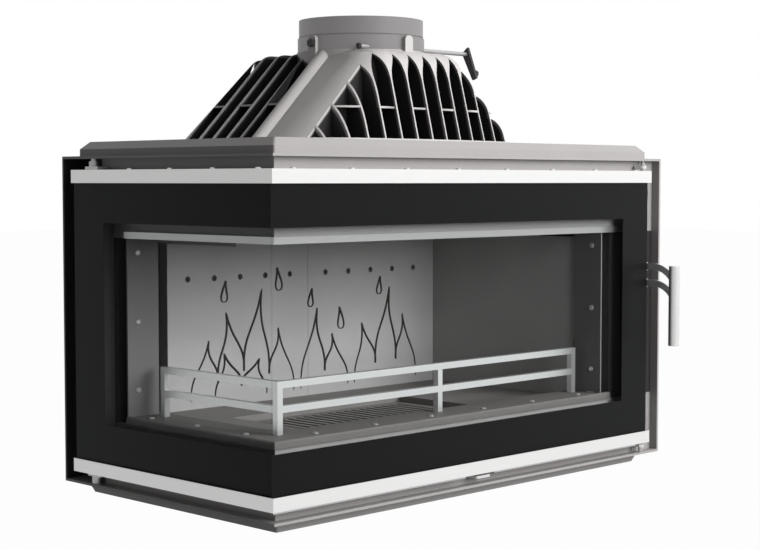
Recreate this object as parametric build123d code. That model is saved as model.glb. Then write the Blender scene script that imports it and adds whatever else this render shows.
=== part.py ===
from build123d import *
import math
import os

# Corner fireplace insert with an L-shaped glazed door, in millimetres.
# The origin is on the floor, straight under the axis of the flue collar.
# The long glass faces -Y, the short side glass faces -X, and +Z is up.

# Door
DOOR_WIDTH = 858.0
DOOR_DEPTH = 465.0
DOOR_HEIGHT = 464.0
FLUE_TO_SIDE_GLASS = 418.0
FLUE_TO_FRONT_GLASS = 257.0
TRIM_HEIGHT = 20.0
TRIM_SHEET = 1.5
TRIM_RETURN = 24.0
GLASS_THICKNESS = 4.0
GLASS_EDGE_GAP = 1.0
GLASS_CORNER_GAP = 0.5
GLASS_END_SETBACK = 4.0
RAIL_DEPTH = 14.5
RAIL_HEIGHT = 16.0
STILE_WIDTH = 18.0
STILE_FROM_DOOR_END = 19.0
REAR_STILE_LENGTH = 71.0
REAR_STILE_SHEET = 6.0
SEAL_WIDTH = 10.0
SEAL_INSET = 5.0
RUNNING_GAP = 0.3
LIP_HEIGHT = 2.5
LIP_DEPTH = 8.0
CLIP_WIDTH = 20.0
CLIP_HEIGHT = 12.0
CLIP_SHEET = 3.0
CLIP_FRONT_SHARES = (0.12, 0.37, 0.63, 0.88)
CLIP_SIDE_SHARES = (0.25, 0.6)

# Carcass
PLATE = 4.0
PLINTH_HEIGHT = 18.0
PLINTH_SHEET = 3.0
PLINTH_SLOPE = 8.0
PLINTH_FRONT_SETBACK = 25.0
PLINTH_BACK_SETBACK = 22.0
GAP_BELOW_DOOR = 19.0
GAP_ABOVE_DOOR = 17.0
BOX_SETBACK = 15.0
RIGHT_RECESS = 43.0
REAR_RECESS = 41.0
TRAY_HEIGHT = 22.5
TRAY_SHEET = 3.0
TRAY_LIP = 11.0
TRAY_FRONT_SETBACK = 15.0
TRAY_BACK_SETBACK = 24.0
FRAME_DEPTH = 30.0
FRAME_SHEET = 3.0
FRAME_REAR_END = 40.0
FRAME_REAR_GAP = 24.0
SHROUD_OFFSET = 66.0

# Firebox
HEARTH_HEIGHT = 121.0
HEARTH_THICKNESS = 35.0
SILL_THICKNESS = 10.0
SILL_WIDTH = 63.5
NOSE_DEPTH = 8.0
NOSE_STANDOUT = 4.0
NOSE_RADIUS = 3.0
NOSE_RISE = 1.0
LINTEL_HEIGHT = 10.0
LINTEL_DEPTH = 6.0
LINTEL_BELOW_DOOR_TOP = 93.0
LINTEL_PAST_WALL = 32.0
LINING_THICKNESS = 20.0
LINING_BELOW_LINTEL = 9.0
WALL_FROM_DOOR_END = 97.0
BACK_FROM_DOOR_REAR = 47.0
REAR_WALL_OFFSET = 84.0
POST_STEP = 54.0
POST_WIDTH = 57.0
POST_SHEET = 3.0
LINING_START = 30.0
LINING_LEFT_GAP = 63.0
LINING_JOINT = 0.6
AIR_HOLE_D = 10.0
AIR_HOLE_COUNT = 5
AIR_HOLE_PITCH = 54.7
AIR_HOLE_HEIGHT = 210.0
AIR_HOLE_DEPTH = 16.0
BAFFLE_THICKNESS = 12.0
BAFFLE_THROAT = 180.0
DEFLECTOR_SHEET = 4.0
DEFLECTOR_DROP = 57.0
DEFLECTOR_DEPTH = 297.0
DEFLECTOR_WIDTH = 560.0
HANGER_WIDTH = 20.0
HANGER_SHEET = 3.0

# Grate, ash pan and air box
GRATE_WIDTH = 367.0
GRATE_DEPTH = 187.0
GRATE_THICKNESS = 15.0
GRATE_SINK = 10.0
GRATE_CLEARANCE = 1.5
GRATE_LEDGE = 8.0
GRATE_RIM = 14.0
GRATE_BAR_PITCH = 17.6
GRATE_SLOT_WIDTH = 8.0
GRATE_LEFT = 186.0
GRATE_FRONT = 116.0
AIR_BOX_SHEET = 3.0
AIR_BOX_WINDOW = 22.0
PAN_SHEET = 1.5
PAN_HEIGHT = 45.0
PAN_CLEARANCE = 14.0

# Log retainer
RETAINER_BAR = 10.0
RETAINER_OFFSET = 76.0
RETAINER_TOP = 76.0
RETAINER_MID = 36.0
RETAINER_MIDDLE_POST = 407.0
RETAINER_FRONT_END = 738.0
RETAINER_SIDE_END = 333.0
RETAINER_PIN_D = 6.0
RETAINER_PIN_LENGTH = 8.0
RETAINER_PIN_GAP = 0.3

# Handle and latch
SPINDLE_D = 8.0
SPINDLE_FROM_DOOR_END = 9.0
SPINDLE_DEPTH = 12.0
SPINDLE_END_GAP = 4.0
BRACKET_HEIGHT = 12.0
BRACKET_SIDE = 2.0
BRACKET_BACK = 2.5
BEARING_GAP = 0.05
HUB_D = 12.0
HUB_HEIGHT = 14.0
HUB_LINK = 10.0
BAR_D = 18.5
BAR_LENGTH = 135.0
BAR_BOTTOM = 169.0
BAR_STANDOUT = 49.0
BAR_FROM_DOOR_END = 1.0
ARM_SHEET = 4.0
ARM_HEIGHT = 11.0
ARM_TOP = 307.0
ARM_DROP = 27.0
ARM_KNEE_SHARE = 0.15
ARM_SPACING = 28.0
CAM_THICKNESS = 5.0
CAM_LIFT = 4.0
HOOK_REACH = 9.0
HOOK_START = 12.0
HOOK_THICKNESS = 3.0
KEEPER_D = 5.0
KEEPER_X = 11.2
KEEPER_Y = 8.5

# Hinge
HINGE_PIN_D = 10.0
HINGE_FROM_SIDE = 25.0
HINGE_FROM_REAR = 26.0
BARREL_D = 16.0
LEAF_THICKNESS = 5.0
LEAF_LENGTH = 32.0
LEAF_WIDTH = 21.0
LEAF_SETBACK = 1.0

# Air control
LEVER_WIDTH = 31.0
LEVER_LEFT = 420.0
LEVER_THICKNESS = 4.0
LEVER_TRAVEL = 30.0
LEVER_DROP = 4.0
LEVER_STANDOUT = 5.0
LEVER_SLOT_LEFT = 2.0
LEVER_SLOT_RIGHT = 4.0
AIR_SLOT_MARGIN = 6.0
SHUTTER_WIDTH = 170.0
SHUTTER_HEIGHT = 34.0
SHUTTER_SHEET = 2.0
SHUTTER_SLOTS = 4
SHUTTER_PITCH = 34.0
SHUTTER_SLOT_WIDTH = 12.0

# Dome
DOME_BASE_HALF = 233.5
DOME_TOP_LEFT = 88.6
DOME_TOP_RIGHT = 108.0
DOME_BASE_FRONT = 161.0
DOME_TOP_FRONT = 125.0
DOME_BASE_REAR = 202.0
DOME_TOP_REAR = 175.0
DOME_BOW_RADIUS = 900.0
DOME_HEIGHT = 143.5
LEFT_CORNER_BASE = 100.0
LEFT_CORNER_TOP = 50.0
RIGHT_CORNER_BASE = 30.0
RIGHT_CORNER_TOP = 44.0
REAR_CORNER_BASE = 50.0
REAR_CORNER_TOP = 40.0
DOME_SHOULDER = 35.0
DOME_WALL = 8.0
DOME_FRONT_WALL = 12.0
DOME_FOOT = 4.0
DOME_SEAT_D = 207.0
DOME_SEAT_RISE = 1.0
DOME_SEAT_DEPTH = 52.0
DOME_BORE_DEPTH = 62.0
FRONT_SLOTS = 14
FRONT_PITCH = 32.8
FRONT_SLOT_WIDTH = 30.2
FRONT_SLOT_TOP = 8.0
FRONT_FLOOR = 104.0
REAR_FLOOR = 146.0
ARCH_HEIGHT = 44.0
SIDE_SLOTS = 5
SIDE_PITCH = 33.5
SIDE_SLOT_WIDTH = 30.8
SIDE_FIRST = 16.0
SIDE_FLOOR_BASE = 196.0
SIDE_FLOOR_TOP = 60.0
FRONT_TIE_HEIGHT = 50.0
SIDE_TIE_HEIGHT = 57.0
FIRST_FRONT_TIE = 2
TIE_THICKNESS = 3.0
TIE_INSET = 3.0
BEAD_Y = -15.0
BEAD_RADIUS = 14.0
BEAD_SINK = 4.0
BEAD_RISE = 5.0
FLUE_HOLE_D = 194.0
OPENING_INSET = 20.0

# Flue collar and damper
COLLAR_D = 200.0
COLLAR_BORE = 194.0
COLLAR_HEIGHT = 51.5
COLLAR_ROOT_D = 204.0
COLLAR_ROOT_HEIGHT = 22.5
COLLAR_GROOVE_WIDTH = 2.5
COLLAR_GROOVE_DEPTH = 1.5
LUG_WIDTH = 17.0
LUG_HEIGHT = 24.0
LUG_THICKNESS = 6.0
LUG_FRONT_ROOT = 6.0
LUG_SIDE_ROOT = 20.0
LUG_BOLT_D = 6.0
LUG_HEAD_D = 13.0
LUG_HEAD_LENGTH = 5.0
ROD_D = 7.0
ROD_OFFSET = 78.0
ROD_LIFT = 4.9
ROD_RIGHT_END = 166.0
ROD_LEFT_STANDOUT = 16.0
ROD_NUT_D = 9.0
ROD_NUT_LENGTH = 5.0
FLAP_D = 168.0
FLAP_THICKNESS = 3.0
FLAP_OPEN_ANGLE = 60.0
SLEEVE_D = 11.0
SLEEVE_SETBACK = 2.0
CRANK_SHEET = 5.0
CRANK_LENGTH = 45.0
CRANK_TOP = 9.0
CRANK_HEEL = 5.4
CRANK_TILT = 24.0
CRANK_TOP_WIDTH = 15.0
CRANK_END_WIDTH = 9.0
CRANK_BOLT_AT = 35.1
CRANK_BOLT_D = 12.0
CRANK_BOLT_HEIGHT = 5.0

# Screws
TRIM_SCREW_D = 8.0
TRIM_SCREW_HEIGHT = 2.2
TRIM_SCREW_START = 48.0
TRIM_SCREW_PITCH = 111.4
TRIM_SCREW_COUNT = 8
TRIM_SCREW_SIDE_START = 42.0
TRIM_SCREW_SIDE_PITCH = 96.5
TRIM_SCREW_SIDE_COUNT = 4
PLATE_SCREW_D = 9.0
PLATE_SCREW_HEIGHT = 2.5
SILL_SCREW_PITCH = 119.5
SILL_SCREW_FIRST = 121.0
SILL_SCREW_SIDE_FIRST = 110.0
SILL_SCREW_SIDE_PITCH = 109.0
SILL_SCREW_OFFSET = 46.5
POST_SCREW_HEIGHTS = (90.0, 194.0, 299.0)
POST_SCREW_OFFSET = 19.0
POST_SCREW_RISE = 40.0

# Places that follow from the sizes above
door_left = -FLUE_TO_SIDE_GLASS
door_front = -FLUE_TO_FRONT_GLASS
door_right = door_left + DOOR_WIDTH
door_rear = door_front + DOOR_DEPTH
bottom_z0 = PLINTH_HEIGHT
bottom_z1 = bottom_z0 + PLATE
door_z0 = bottom_z1 + GAP_BELOW_DOOR
door_z1 = door_z0 + DOOR_HEIGHT
top_z0 = door_z1 + GAP_ABOVE_DOOR
top_z1 = top_z0 + PLATE
tray_z1 = top_z1 + TRAY_HEIGHT
box_left = door_left + BOX_SETBACK
box_front = door_front + BOX_SETBACK
box_right = door_right + RIGHT_RECESS + PLATE
box_rear = door_rear + REAR_RECESS + PLATE
frame_left = door_left + FRAME_DEPTH
frame_front = door_front + FRAME_DEPTH
frame_back_x = frame_left + FRAME_SHEET
frame_back_y = frame_front + FRAME_SHEET
wall_right = door_right - WALL_FROM_DOOR_END
wall_back = door_rear - BACK_FROM_DOOR_REAR
shell_right = wall_right + LINING_THICKNESS
shell_back = wall_back + LINING_THICKNESS
rear_wall_x = door_left + REAR_WALL_OFFSET
post_face = wall_back - POST_STEP
frame_rear = door_rear - FRAME_REAR_END
sill_z1 = HEARTH_HEIGHT + SILL_THICKNESS
lintel_z1 = door_z1 - LINTEL_BELOW_DOOR_TOP
lintel_z0 = lintel_z1 - LINTEL_HEIGHT
lining_z1 = lintel_z0 - LINING_BELOW_LINTEL
hinge_x = door_left + HINGE_FROM_SIDE
hinge_y = door_rear - HINGE_FROM_REAR
spindle_x = door_right - SPINDLE_FROM_DOOR_END
spindle_y = door_front + SPINDLE_DEPTH
dome_z0 = tray_z1
dome_z1 = dome_z0 + DOME_HEIGHT
seat_z1 = dome_z1 + DOME_SEAT_RISE
rod_z = dome_z1 + ROD_LIFT
grate_x0 = door_left + GRATE_LEFT
grate_y0 = door_front + GRATE_FRONT
grate_x1 = grate_x0 + GRATE_WIDTH
grate_y1 = grate_y0 + GRATE_DEPTH
grate_z1 = HEARTH_HEIGHT - GRATE_SINK
grate_z0 = grate_z1 - GRATE_THICKNESS
hearth_z0 = HEARTH_HEIGHT - HEARTH_THICKNESS


def block(x0, x1, y0, y1, z0, z1):
    """A box between two corners."""
    middle = Pos((x0 + x1) / 2, (y0 + y1) / 2, (z0 + z1) / 2)
    return middle * Box(x1 - x0, y1 - y0, z1 - z0)


def post(x, y, z0, z1, radius):
    """A round bar along Z."""
    return Pos(x, y, (z0 + z1) / 2) * Cylinder(radius, z1 - z0)


def rod_along_x(x0, x1, y, z, radius):
    """A round bar along X."""
    return Pos((x0 + x1) / 2, y, z) * Rot(0, 90, 0) * Cylinder(radius, x1 - x0)


def rod_along_y(y0, y1, x, z, radius):
    """A round bar along Y."""
    return Pos(x, (y0 + y1) / 2, z) * Rot(90, 0, 0) * Cylinder(radius, y1 - y0)


def prism(points, z0, z1):
    """A plan outline raised from one height to another."""
    outline = make_face(Polyline(*points, close=True))
    return Pos(0, 0, z0) * extrude(outline, amount=z1 - z0, dir=(0, 0, 1))


def front_run(near, far, x_end, z0, z1):
    """The front leg of a mitred L, between two depths behind the glass faces."""
    points = [
        (door_left + near, door_front + near),
        (x_end, door_front + near),
        (x_end, door_front + far),
        (door_left + far, door_front + far),
    ]
    return prism(points, z0, z1)


def side_run(near, far, y_end, z0, z1):
    """The side leg of a mitred L, between two depths behind the glass faces."""
    points = [
        (door_left + near, door_front + near),
        (door_left + far, door_front + far),
        (door_left + far, y_end),
        (door_left + near, y_end),
    ]
    return prism(points, z0, z1)


def rounded_section(x0, x1, y0, y1, radius, z):
    """A rectangle with round corners at one height, for a loft."""
    middle = ((x0 + x1) / 2, (y0 + y1) / 2)
    shape = RectangleRounded(x1 - x0, y1 - y0, radius)
    return Pos(middle[0], middle[1], z) * shape


def frustum(low, high, z0, z1, radius_low, radius_high):
    """A tapering block between two rounded rectangles given as x0, x1, y0, y1."""
    sections = [
        rounded_section(*low, radius_low, z0),
        rounded_section(*high, radius_high, z1),
    ]
    return loft(sections, ruled=True)


def grown(sides, amount):
    """A rectangle x0, x1, y0, y1 moved outwards by an amount."""
    x0, x1, y0, y1 = sides
    return (x0 - amount, x1 + amount, y0 - amount, y1 + amount)


def dome_screw(x, y, z, diameter, height):
    """A low domed screw head that stands up along Z."""
    head = Pos(x, y, z + height / 2) * Cylinder(diameter / 2, height)
    return fillet(head.edges().group_by(Axis.Z)[-1], height * 0.7)


def save(name, *solids):
    """Write one node, as one solid or as a group of separate solids."""
    shape = solids[0] if len(solids) == 1 else Compound(children=list(solids))
    export_step(shape, f"parts/{name}.step")


# Plinth pan
def make_plinth():
    upper = (
        box_left + PLINTH_FRONT_SETBACK,
        box_right - PLINTH_BACK_SETBACK,
        box_front + PLINTH_FRONT_SETBACK,
        box_rear - PLINTH_BACK_SETBACK,
    )
    lower = grown(upper, -PLINTH_SLOPE)
    shell = frustum(lower, upper, 0, bottom_z0, PLINTH_SHEET, PLINTH_SHEET)
    hollow = frustum(
        grown(lower, -PLINTH_SHEET), grown(upper, -PLINTH_SHEET),
        PLINTH_SHEET, bottom_z0 + PLINTH_SHEET, PLINTH_SHEET / 2, PLINTH_SHEET / 2,
    )
    save("plinth_pan", shell - hollow)


# Top tray under the dome
def tray_opening():
    """The smoke opening shared by the top plate and the tray, as x0, x1, y0, y1."""
    side = SIDE_FLOOR_BASE - OPENING_INSET
    return (-side, side, -(FRONT_FLOOR + DOME_WALL), REAR_FLOOR + DOME_WALL)


def opening_cut(z0, z1):
    x0, x1, y0, y1 = tray_opening()
    return block(x0, x1, y0, y1, z0, z1)


def make_tray():
    outer = (
        box_left + TRAY_FRONT_SETBACK,
        box_right - TRAY_BACK_SETBACK,
        box_front + TRAY_FRONT_SETBACK,
        box_rear - TRAY_BACK_SETBACK,
    )
    bevel = TRAY_HEIGHT - TRAY_LIP
    upper = grown(outer, -bevel)
    inner = grown(outer, -TRAY_SHEET)
    inner_upper = grown(inner, -bevel)
    lip_z = top_z1 + TRAY_LIP
    corner = TRAY_SHEET
    shell = frustum(outer, outer, top_z1, lip_z, corner, corner)
    shell += frustum(outer, upper, lip_z, tray_z1, corner, corner)
    hollow_lip = lip_z - TRAY_SHEET * 0.4
    hollow = frustum(inner, inner, top_z1, hollow_lip, corner / 2, corner / 2)
    hollow += frustum(
        inner, inner_upper, hollow_lip, hollow_lip + bevel - TRAY_SHEET * 0.6,
        corner / 2, corner / 2,
    )
    tray = shell - hollow - opening_cut(top_z1, tray_z1 + 1)
    save("top_tray", tray)


# Outer plates
def make_plates():
    pin_hole_radius = HINGE_PIN_D / 2 + BEARING_GAP
    bottom = block(box_left, box_right, box_front, box_rear, bottom_z0, bottom_z1)
    bottom -= post(hinge_x, hinge_y, bottom_z0 - 1, bottom_z1 + 1, pin_hole_radius)
    save("bottom_plate", bottom)
    top = block(box_left, box_right, box_front, box_rear, top_z0, top_z1)
    top -= post(hinge_x, hinge_y, top_z0 - 1, top_z1 + 1, pin_hole_radius)
    top -= opening_cut(top_z0 - 1, top_z1 + 1)
    save("top_plate", top)
    inner_right = box_right - PLATE
    save("right_side_plate", block(inner_right, box_right, box_front, box_rear, bottom_z1, top_z0))
    back_front = box_rear - PLATE
    save("back_plate", block(box_left, inner_right, back_front, box_rear, bottom_z1, top_z0))


# Front frame that the door closes on
def lever_slot():
    """The slot in the lower frame member that the air lever slides in."""
    left = door_left + LEVER_LEFT - LEVER_TRAVEL - LEVER_SLOT_LEFT
    right = door_left + LEVER_LEFT + LEVER_WIDTH + LEVER_SLOT_RIGHT
    middle = door_z0 - LEVER_DROP - LEVER_THICKNESS / 2
    half = LEVER_THICKNESS
    return block(left, right, frame_front - 1, frame_back_y + 1, middle - half, middle + half)


def shutter_slot_centres(shift=0.0):
    first = lever_middle() - SHUTTER_PITCH * (SHUTTER_SLOTS - 1) / 2
    return [first + shift + SHUTTER_PITCH * i for i in range(SHUTTER_SLOTS)]


def lever_middle():
    return door_left + LEVER_LEFT + LEVER_WIDTH / 2


def shutter_heights():
    """Bottom and top of the sliding air shutter."""
    low = bottom_z1 + PLATE
    return low, low + SHUTTER_HEIGHT


def air_slots(y0, y1, shift):
    """The row of upright air slots, above the lever."""
    low, high = shutter_heights()
    slot_low = door_z0
    slot_high = high - AIR_SLOT_MARGIN
    half = SHUTTER_SLOT_WIDTH / 2
    cuts = [block(x - half, x + half, y0, y1, slot_low, slot_high)
            for x in shutter_slot_centres(shift)]
    return cuts


def make_frame():
    inner_right = box_right - PLATE
    near = FRAME_DEPTH
    far = FRAME_DEPTH + FRAME_SHEET
    low_front = front_run(near, far, inner_right, bottom_z1, HEARTH_HEIGHT)
    low_front -= lever_slot()
    for cut in air_slots(frame_front - 1, frame_back_y + 1, 0.0):
        low_front -= cut
    low_side = side_run(near, far, frame_rear, bottom_z1, HEARTH_HEIGHT)
    save("frame_bottom", low_front, low_side)
    high_front = front_run(near, far, inner_right, lintel_z0, top_z0)
    save("frame_top", high_front, side_run(near, far, frame_rear, lintel_z0, top_z0))
    right = block(shell_right, inner_right, frame_front, frame_back_y, HEARTH_HEIGHT, lintel_z0)
    rear_start = post_face + FRAME_REAR_GAP
    rear = block(frame_left, frame_back_x, rear_start, frame_rear, HEARTH_HEIGHT, lintel_z0)
    save("frame_jambs", right, rear)


# Steel shell of the firebox
def make_shell():
    back = block(
        rear_wall_x, shell_right + PLATE, shell_back, shell_back + PLATE, bottom_z1, top_z0
    )
    save("shell_back", back)
    right = block(shell_right, shell_right + PLATE, frame_back_y, shell_back, bottom_z1, top_z0)
    save("shell_right", right)
    rear_left = block(
        rear_wall_x, rear_wall_x + PLATE, post_face + POST_SHEET, shell_back, bottom_z1, top_z0
    )
    save("shell_left", rear_left)
    closing = block(
        frame_back_x, rear_wall_x, frame_rear - FRAME_SHEET, frame_rear, bottom_z1, top_z0
    )
    shroud_x = door_left + SHROUD_OFFSET
    shroud = block(
        shroud_x, shroud_x + FRAME_SHEET, frame_rear, box_rear - PLATE, bottom_z1, top_z0
    )
    save("hinge_shroud", closing + shroud)


# Hearth, sill, lintel and post plates
def hearth_opening(margin):
    """The grate opening in the hearth, grown by a margin, as x0, x1, y0, y1."""
    return (grate_x0 - margin, grate_x1 + margin, grate_y0 - margin, grate_y1 + margin)


def make_hearth():
    slab = block(frame_back_x, shell_right, frame_back_y, shell_back, hearth_z0, HEARTH_HEIGHT)
    slab -= block(
        frame_back_x - 1, rear_wall_x + PLATE, post_face, shell_back + 1,
        hearth_z0 - 1, HEARTH_HEIGHT + 1,
    )
    x0, x1, y0, y1 = hearth_opening(GRATE_CLEARANCE)
    slab -= block(x0, x1, y0, y1, grate_z0, HEARTH_HEIGHT + 1)
    x0, x1, y0, y1 = hearth_opening(-GRATE_LEDGE)
    slab -= block(x0, x1, y0, y1, hearth_z0 - 1, grate_z0 + 1)
    save("hearth_plate", slab)


def retainer_pin_places():
    front_y = door_front + RETAINER_OFFSET
    side_x = door_left + RETAINER_OFFSET
    return [
        (side_x, front_y),
        (door_left + RETAINER_MIDDLE_POST, front_y),
        (door_left + RETAINER_FRONT_END, front_y),
        (side_x, door_front + RETAINER_SIDE_END),
    ]


def sill_leg(run, end):
    """One mitred leg of the sill: a flat strip with a round nose in front."""
    near = FRAME_DEPTH - NOSE_STANDOUT
    back = near + NOSE_DEPTH
    far = back + SILL_WIDTH
    nose = run(near, back, end, HEARTH_HEIGHT, sill_z1 + NOSE_RISE)
    along, across = (Axis.X, Axis.Y) if run is front_run else (Axis.Y, Axis.X)
    lip = nose.edges().filter_by(along).group_by(Axis.Z)[-1].sort_by(across)[0]
    nose = fillet(lip, NOSE_RADIUS)
    strip = run(back, far, end, HEARTH_HEIGHT, sill_z1)
    leg = nose + strip
    for x, y in retainer_pin_places():
        radius = RETAINER_PIN_D / 2 + RETAINER_PIN_GAP
        leg -= post(x, y, sill_z1 - RETAINER_PIN_LENGTH - RUNNING_GAP, sill_z1 + 1, radius)
    return leg


def make_sill():
    front = sill_leg(front_run, shell_right)
    front -= block(
        wall_right, shell_right + 1, frame_back_y, wall_back, HEARTH_HEIGHT - 1, sill_z1 + 2
    )
    save("door_sill", front, sill_leg(side_run, post_face))


def make_lintel():
    near = FRAME_DEPTH - LINTEL_DEPTH
    end = wall_right + LINTEL_PAST_WALL
    front = front_run(near, FRAME_DEPTH, end, lintel_z0, lintel_z1)
    save("lintel", front, side_run(near, FRAME_DEPTH, post_face, lintel_z0, lintel_z1))


def make_posts():
    low = sill_z1 + NOSE_RISE
    right = block(
        wall_right - POST_SHEET, wall_right, frame_front, frame_front + POST_WIDTH, low, lintel_z0
    )
    left = block(
        frame_left, rear_wall_x + PLATE, post_face, post_face + POST_SHEET, HEARTH_HEIGHT, lintel_z0
    )
    save("post_plates", right, left)


# Refractory lining
def lining_plate(x0, x1, hole_centre):
    plate = block(x0, x1, wall_back, shell_back, HEARTH_HEIGHT, lining_z1)
    first = hole_centre - AIR_HOLE_PITCH * (AIR_HOLE_COUNT - 1) / 2
    height = HEARTH_HEIGHT + AIR_HOLE_HEIGHT
    for i in range(AIR_HOLE_COUNT):
        x = first + AIR_HOLE_PITCH * i
        plate -= rod_along_y(wall_back - 1, wall_back + AIR_HOLE_DEPTH, x, height, AIR_HOLE_D / 2)
    return plate


def make_lining():
    left = rear_wall_x + LINING_LEFT_GAP
    plate_width = (AIR_HOLE_COUNT + 0.5) * AIR_HOLE_PITCH
    middle = left + plate_width
    start = middle + LINING_JOINT
    first = lining_plate(left, middle, left + plate_width / 2)
    save("back_lining", first, lining_plate(start, wall_right, start + plate_width / 2))
    right = block(
        wall_right, shell_right, frame_front + LINING_START, shell_back, HEARTH_HEIGHT, lining_z1
    )
    save("right_lining", right)


# Baffles over the fire
def make_baffles():
    baffle = block(
        rear_wall_x + PLATE + RUNNING_GAP, shell_right - RUNNING_GAP,
        door_front + BAFFLE_THROAT, shell_back - RUNNING_GAP, lining_z1, lining_z1 + BAFFLE_THICKNESS,
    )
    save("baffle_plate", baffle)
    plate_z1 = top_z0 - DEFLECTOR_DROP
    x0 = rear_wall_x + PLATE + RUNNING_GAP
    x1 = x0 + DEFLECTOR_WIDTH
    y1 = frame_back_y + DEFLECTOR_DEPTH
    deflector = block(x0, x1, frame_back_y, y1, plate_z1 - DEFLECTOR_SHEET, plate_z1)
    save("smoke_deflector", deflector)
    straps = []
    for x in (x0 + HANGER_WIDTH, x1 - HANGER_WIDTH):
        for y in (frame_back_y + HANGER_WIDTH, y1 - HANGER_WIDTH):
            straps.append(block(x - HANGER_SHEET / 2, x + HANGER_SHEET / 2,
                                y - HANGER_WIDTH / 2, y + HANGER_WIDTH / 2, plate_z1, top_z0))
    save("deflector_hangers", *straps)


# Grate, air box and ash pan
def make_grate():
    grate = block(grate_x0, grate_x1, grate_y0, grate_y1, grate_z0, grate_z1)
    usable = GRATE_WIDTH - 2 * GRATE_RIM
    count = int(usable / GRATE_BAR_PITCH)
    first = (grate_x0 + grate_x1) / 2 - GRATE_BAR_PITCH * (count - 1) / 2
    for i in range(count):
        x = first + GRATE_BAR_PITCH * i
        slot = SlotOverall(GRATE_DEPTH - 2 * GRATE_RIM, GRATE_SLOT_WIDTH)
        cutter = extrude(slot, amount=GRATE_THICKNESS + 2)
        middle_y = (grate_y0 + grate_y1) / 2
        grate -= Pos(x, middle_y, grate_z0 - 1) * Rot(0, 0, 90) * cutter
    save("grate", grate)


def make_air_box():
    x0, x1, y0, y1 = hearth_opening(GRATE_LEDGE)
    sheet = AIR_BOX_SHEET
    walls = [
        block(x0, x1, y0, y0 + sheet, bottom_z1, hearth_z0),
        block(x0, x1, y1 - sheet, y1, bottom_z1, hearth_z0),
        block(x0, x0 + sheet, y0 + sheet, y1 - sheet, bottom_z1, hearth_z0),
        block(x1 - sheet, x1, y0 + sheet, y1 - sheet, bottom_z1, hearth_z0),
    ]
    middle = (x0 + x1) / 2
    half = SHUTTER_PITCH * SHUTTER_SLOTS / 2
    window = block(middle - half, middle + half, y0 - 1, y0 + sheet + 1, door_z0, door_z0 + AIR_BOX_WINDOW)
    walls[0] -= window
    save("air_box", *walls)


def make_ash_pan():
    x0, x1, y0, y1 = hearth_opening(-PAN_CLEARANCE)
    pan = block(x0, x1, y0, y1, bottom_z1, bottom_z1 + PAN_HEIGHT)
    pan -= block(
        x0 + PAN_SHEET, x1 - PAN_SHEET, y0 + PAN_SHEET, y1 - PAN_SHEET,
        bottom_z1 + PAN_SHEET, bottom_z1 + PAN_HEIGHT + 1,
    )
    save("ash_pan", pan)


# Sliding air control
def make_air_control():
    low, high = shutter_heights()
    gap = RUNNING_GAP
    middle = lever_middle()
    y0 = frame_back_y + gap
    y1 = y0 + SHUTTER_SHEET
    shutter = block(middle - SHUTTER_WIDTH / 2, middle + SHUTTER_WIDTH / 2, y0, y1, low, high)
    for cut in air_slots(y0 - 1, y1 + 1, 0.0):
        shutter -= cut
    save("air_shutter", shutter)
    z1 = door_z0 - LEVER_DROP
    z0 = z1 - LEVER_THICKNESS
    left = door_left + LEVER_LEFT
    lever = block(left, left + LEVER_WIDTH, door_front + LEVER_STANDOUT, y0, z0, z1)
    lever = fillet(lever.edges().filter_by(Axis.Z).group_by(Axis.Y)[0], LEVER_THICKNESS)
    save("air_lever", lever)
    reach = SHUTTER_WIDTH / 2 + LEVER_TRAVEL
    lip_y0 = y1 + gap
    lip_y1 = lip_y0 + SHUTTER_SHEET
    x0 = middle - reach - LEVER_TRAVEL / 2
    x1 = middle + reach
    lower = block(x0, x1, frame_back_y, lip_y1, bottom_z1, low - gap)
    lower += block(x0, x1, lip_y0, lip_y1, low - gap, low + PLATE)
    upper = block(x0, x1, frame_back_y, lip_y1, high + gap, high + gap + PLATE)
    upper += block(x0, x1, lip_y0, lip_y1, high - PLATE, high + gap)
    save("shutter_guides", lower, upper)


# Log retainer
def make_retainer():
    half = RETAINER_BAR / 2
    near = RETAINER_OFFSET - half
    far = RETAINER_OFFSET + half
    x_end = door_left + RETAINER_FRONT_END + half
    y_end = door_front + RETAINER_SIDE_END + half
    top_z = sill_z1 + RETAINER_TOP
    rails = [
        front_run(near, far, x_end, top_z - RETAINER_BAR, top_z),
        side_run(near, far, y_end, top_z - RETAINER_BAR, top_z),
    ]
    save("retainer_top_rail", *rails)
    posts = []
    for x, y in retainer_pin_places():
        leg = block(x - half, x + half, y - half, y + half, sill_z1, top_z - RETAINER_BAR)
        leg += post(x, y, sill_z1 - RETAINER_PIN_LENGTH, sill_z1 + 1, RETAINER_PIN_D / 2)
        posts.append(leg)
    save("retainer_posts", *posts)
    places = retainer_pin_places()
    mid_z0 = sill_z1 + RETAINER_MID - half
    mid_z1 = mid_z0 + RETAINER_BAR
    y = places[0][1]
    x = places[0][0]
    mids = [
        block(x + half, places[1][0] - half, y - half, y + half, mid_z0, mid_z1),
        block(places[1][0] + half, places[2][0] - half, y - half, y + half, mid_z0, mid_z1),
        block(x - half, x + half, y + half, places[3][1] - half, mid_z0, mid_z1),
    ]
    save("retainer_mid_rail", *mids)


# Door
def trim_pair(z_edge, z_inner):
    """Front and side legs of an angle trim, from its outer edge height inwards."""
    low = min(z_edge, z_inner)
    high = max(z_edge, z_inner)
    flange_low = z_edge if z_edge < z_inner else z_edge - TRIM_SHEET
    flange_high = flange_low + TRIM_SHEET
    legs = []
    for run, end in ((front_run, door_right), (side_run, door_rear)):
        leg = run(0, TRIM_SHEET, end, low, high)
        leg += run(TRIM_SHEET, TRIM_RETURN, end, flange_low, flange_high)
        leg -= post(spindle_x, spindle_y, flange_low - 1, flange_high + 1, SPINDLE_D / 2 + RUNNING_GAP)
        legs.append(leg)
    return legs


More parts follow.
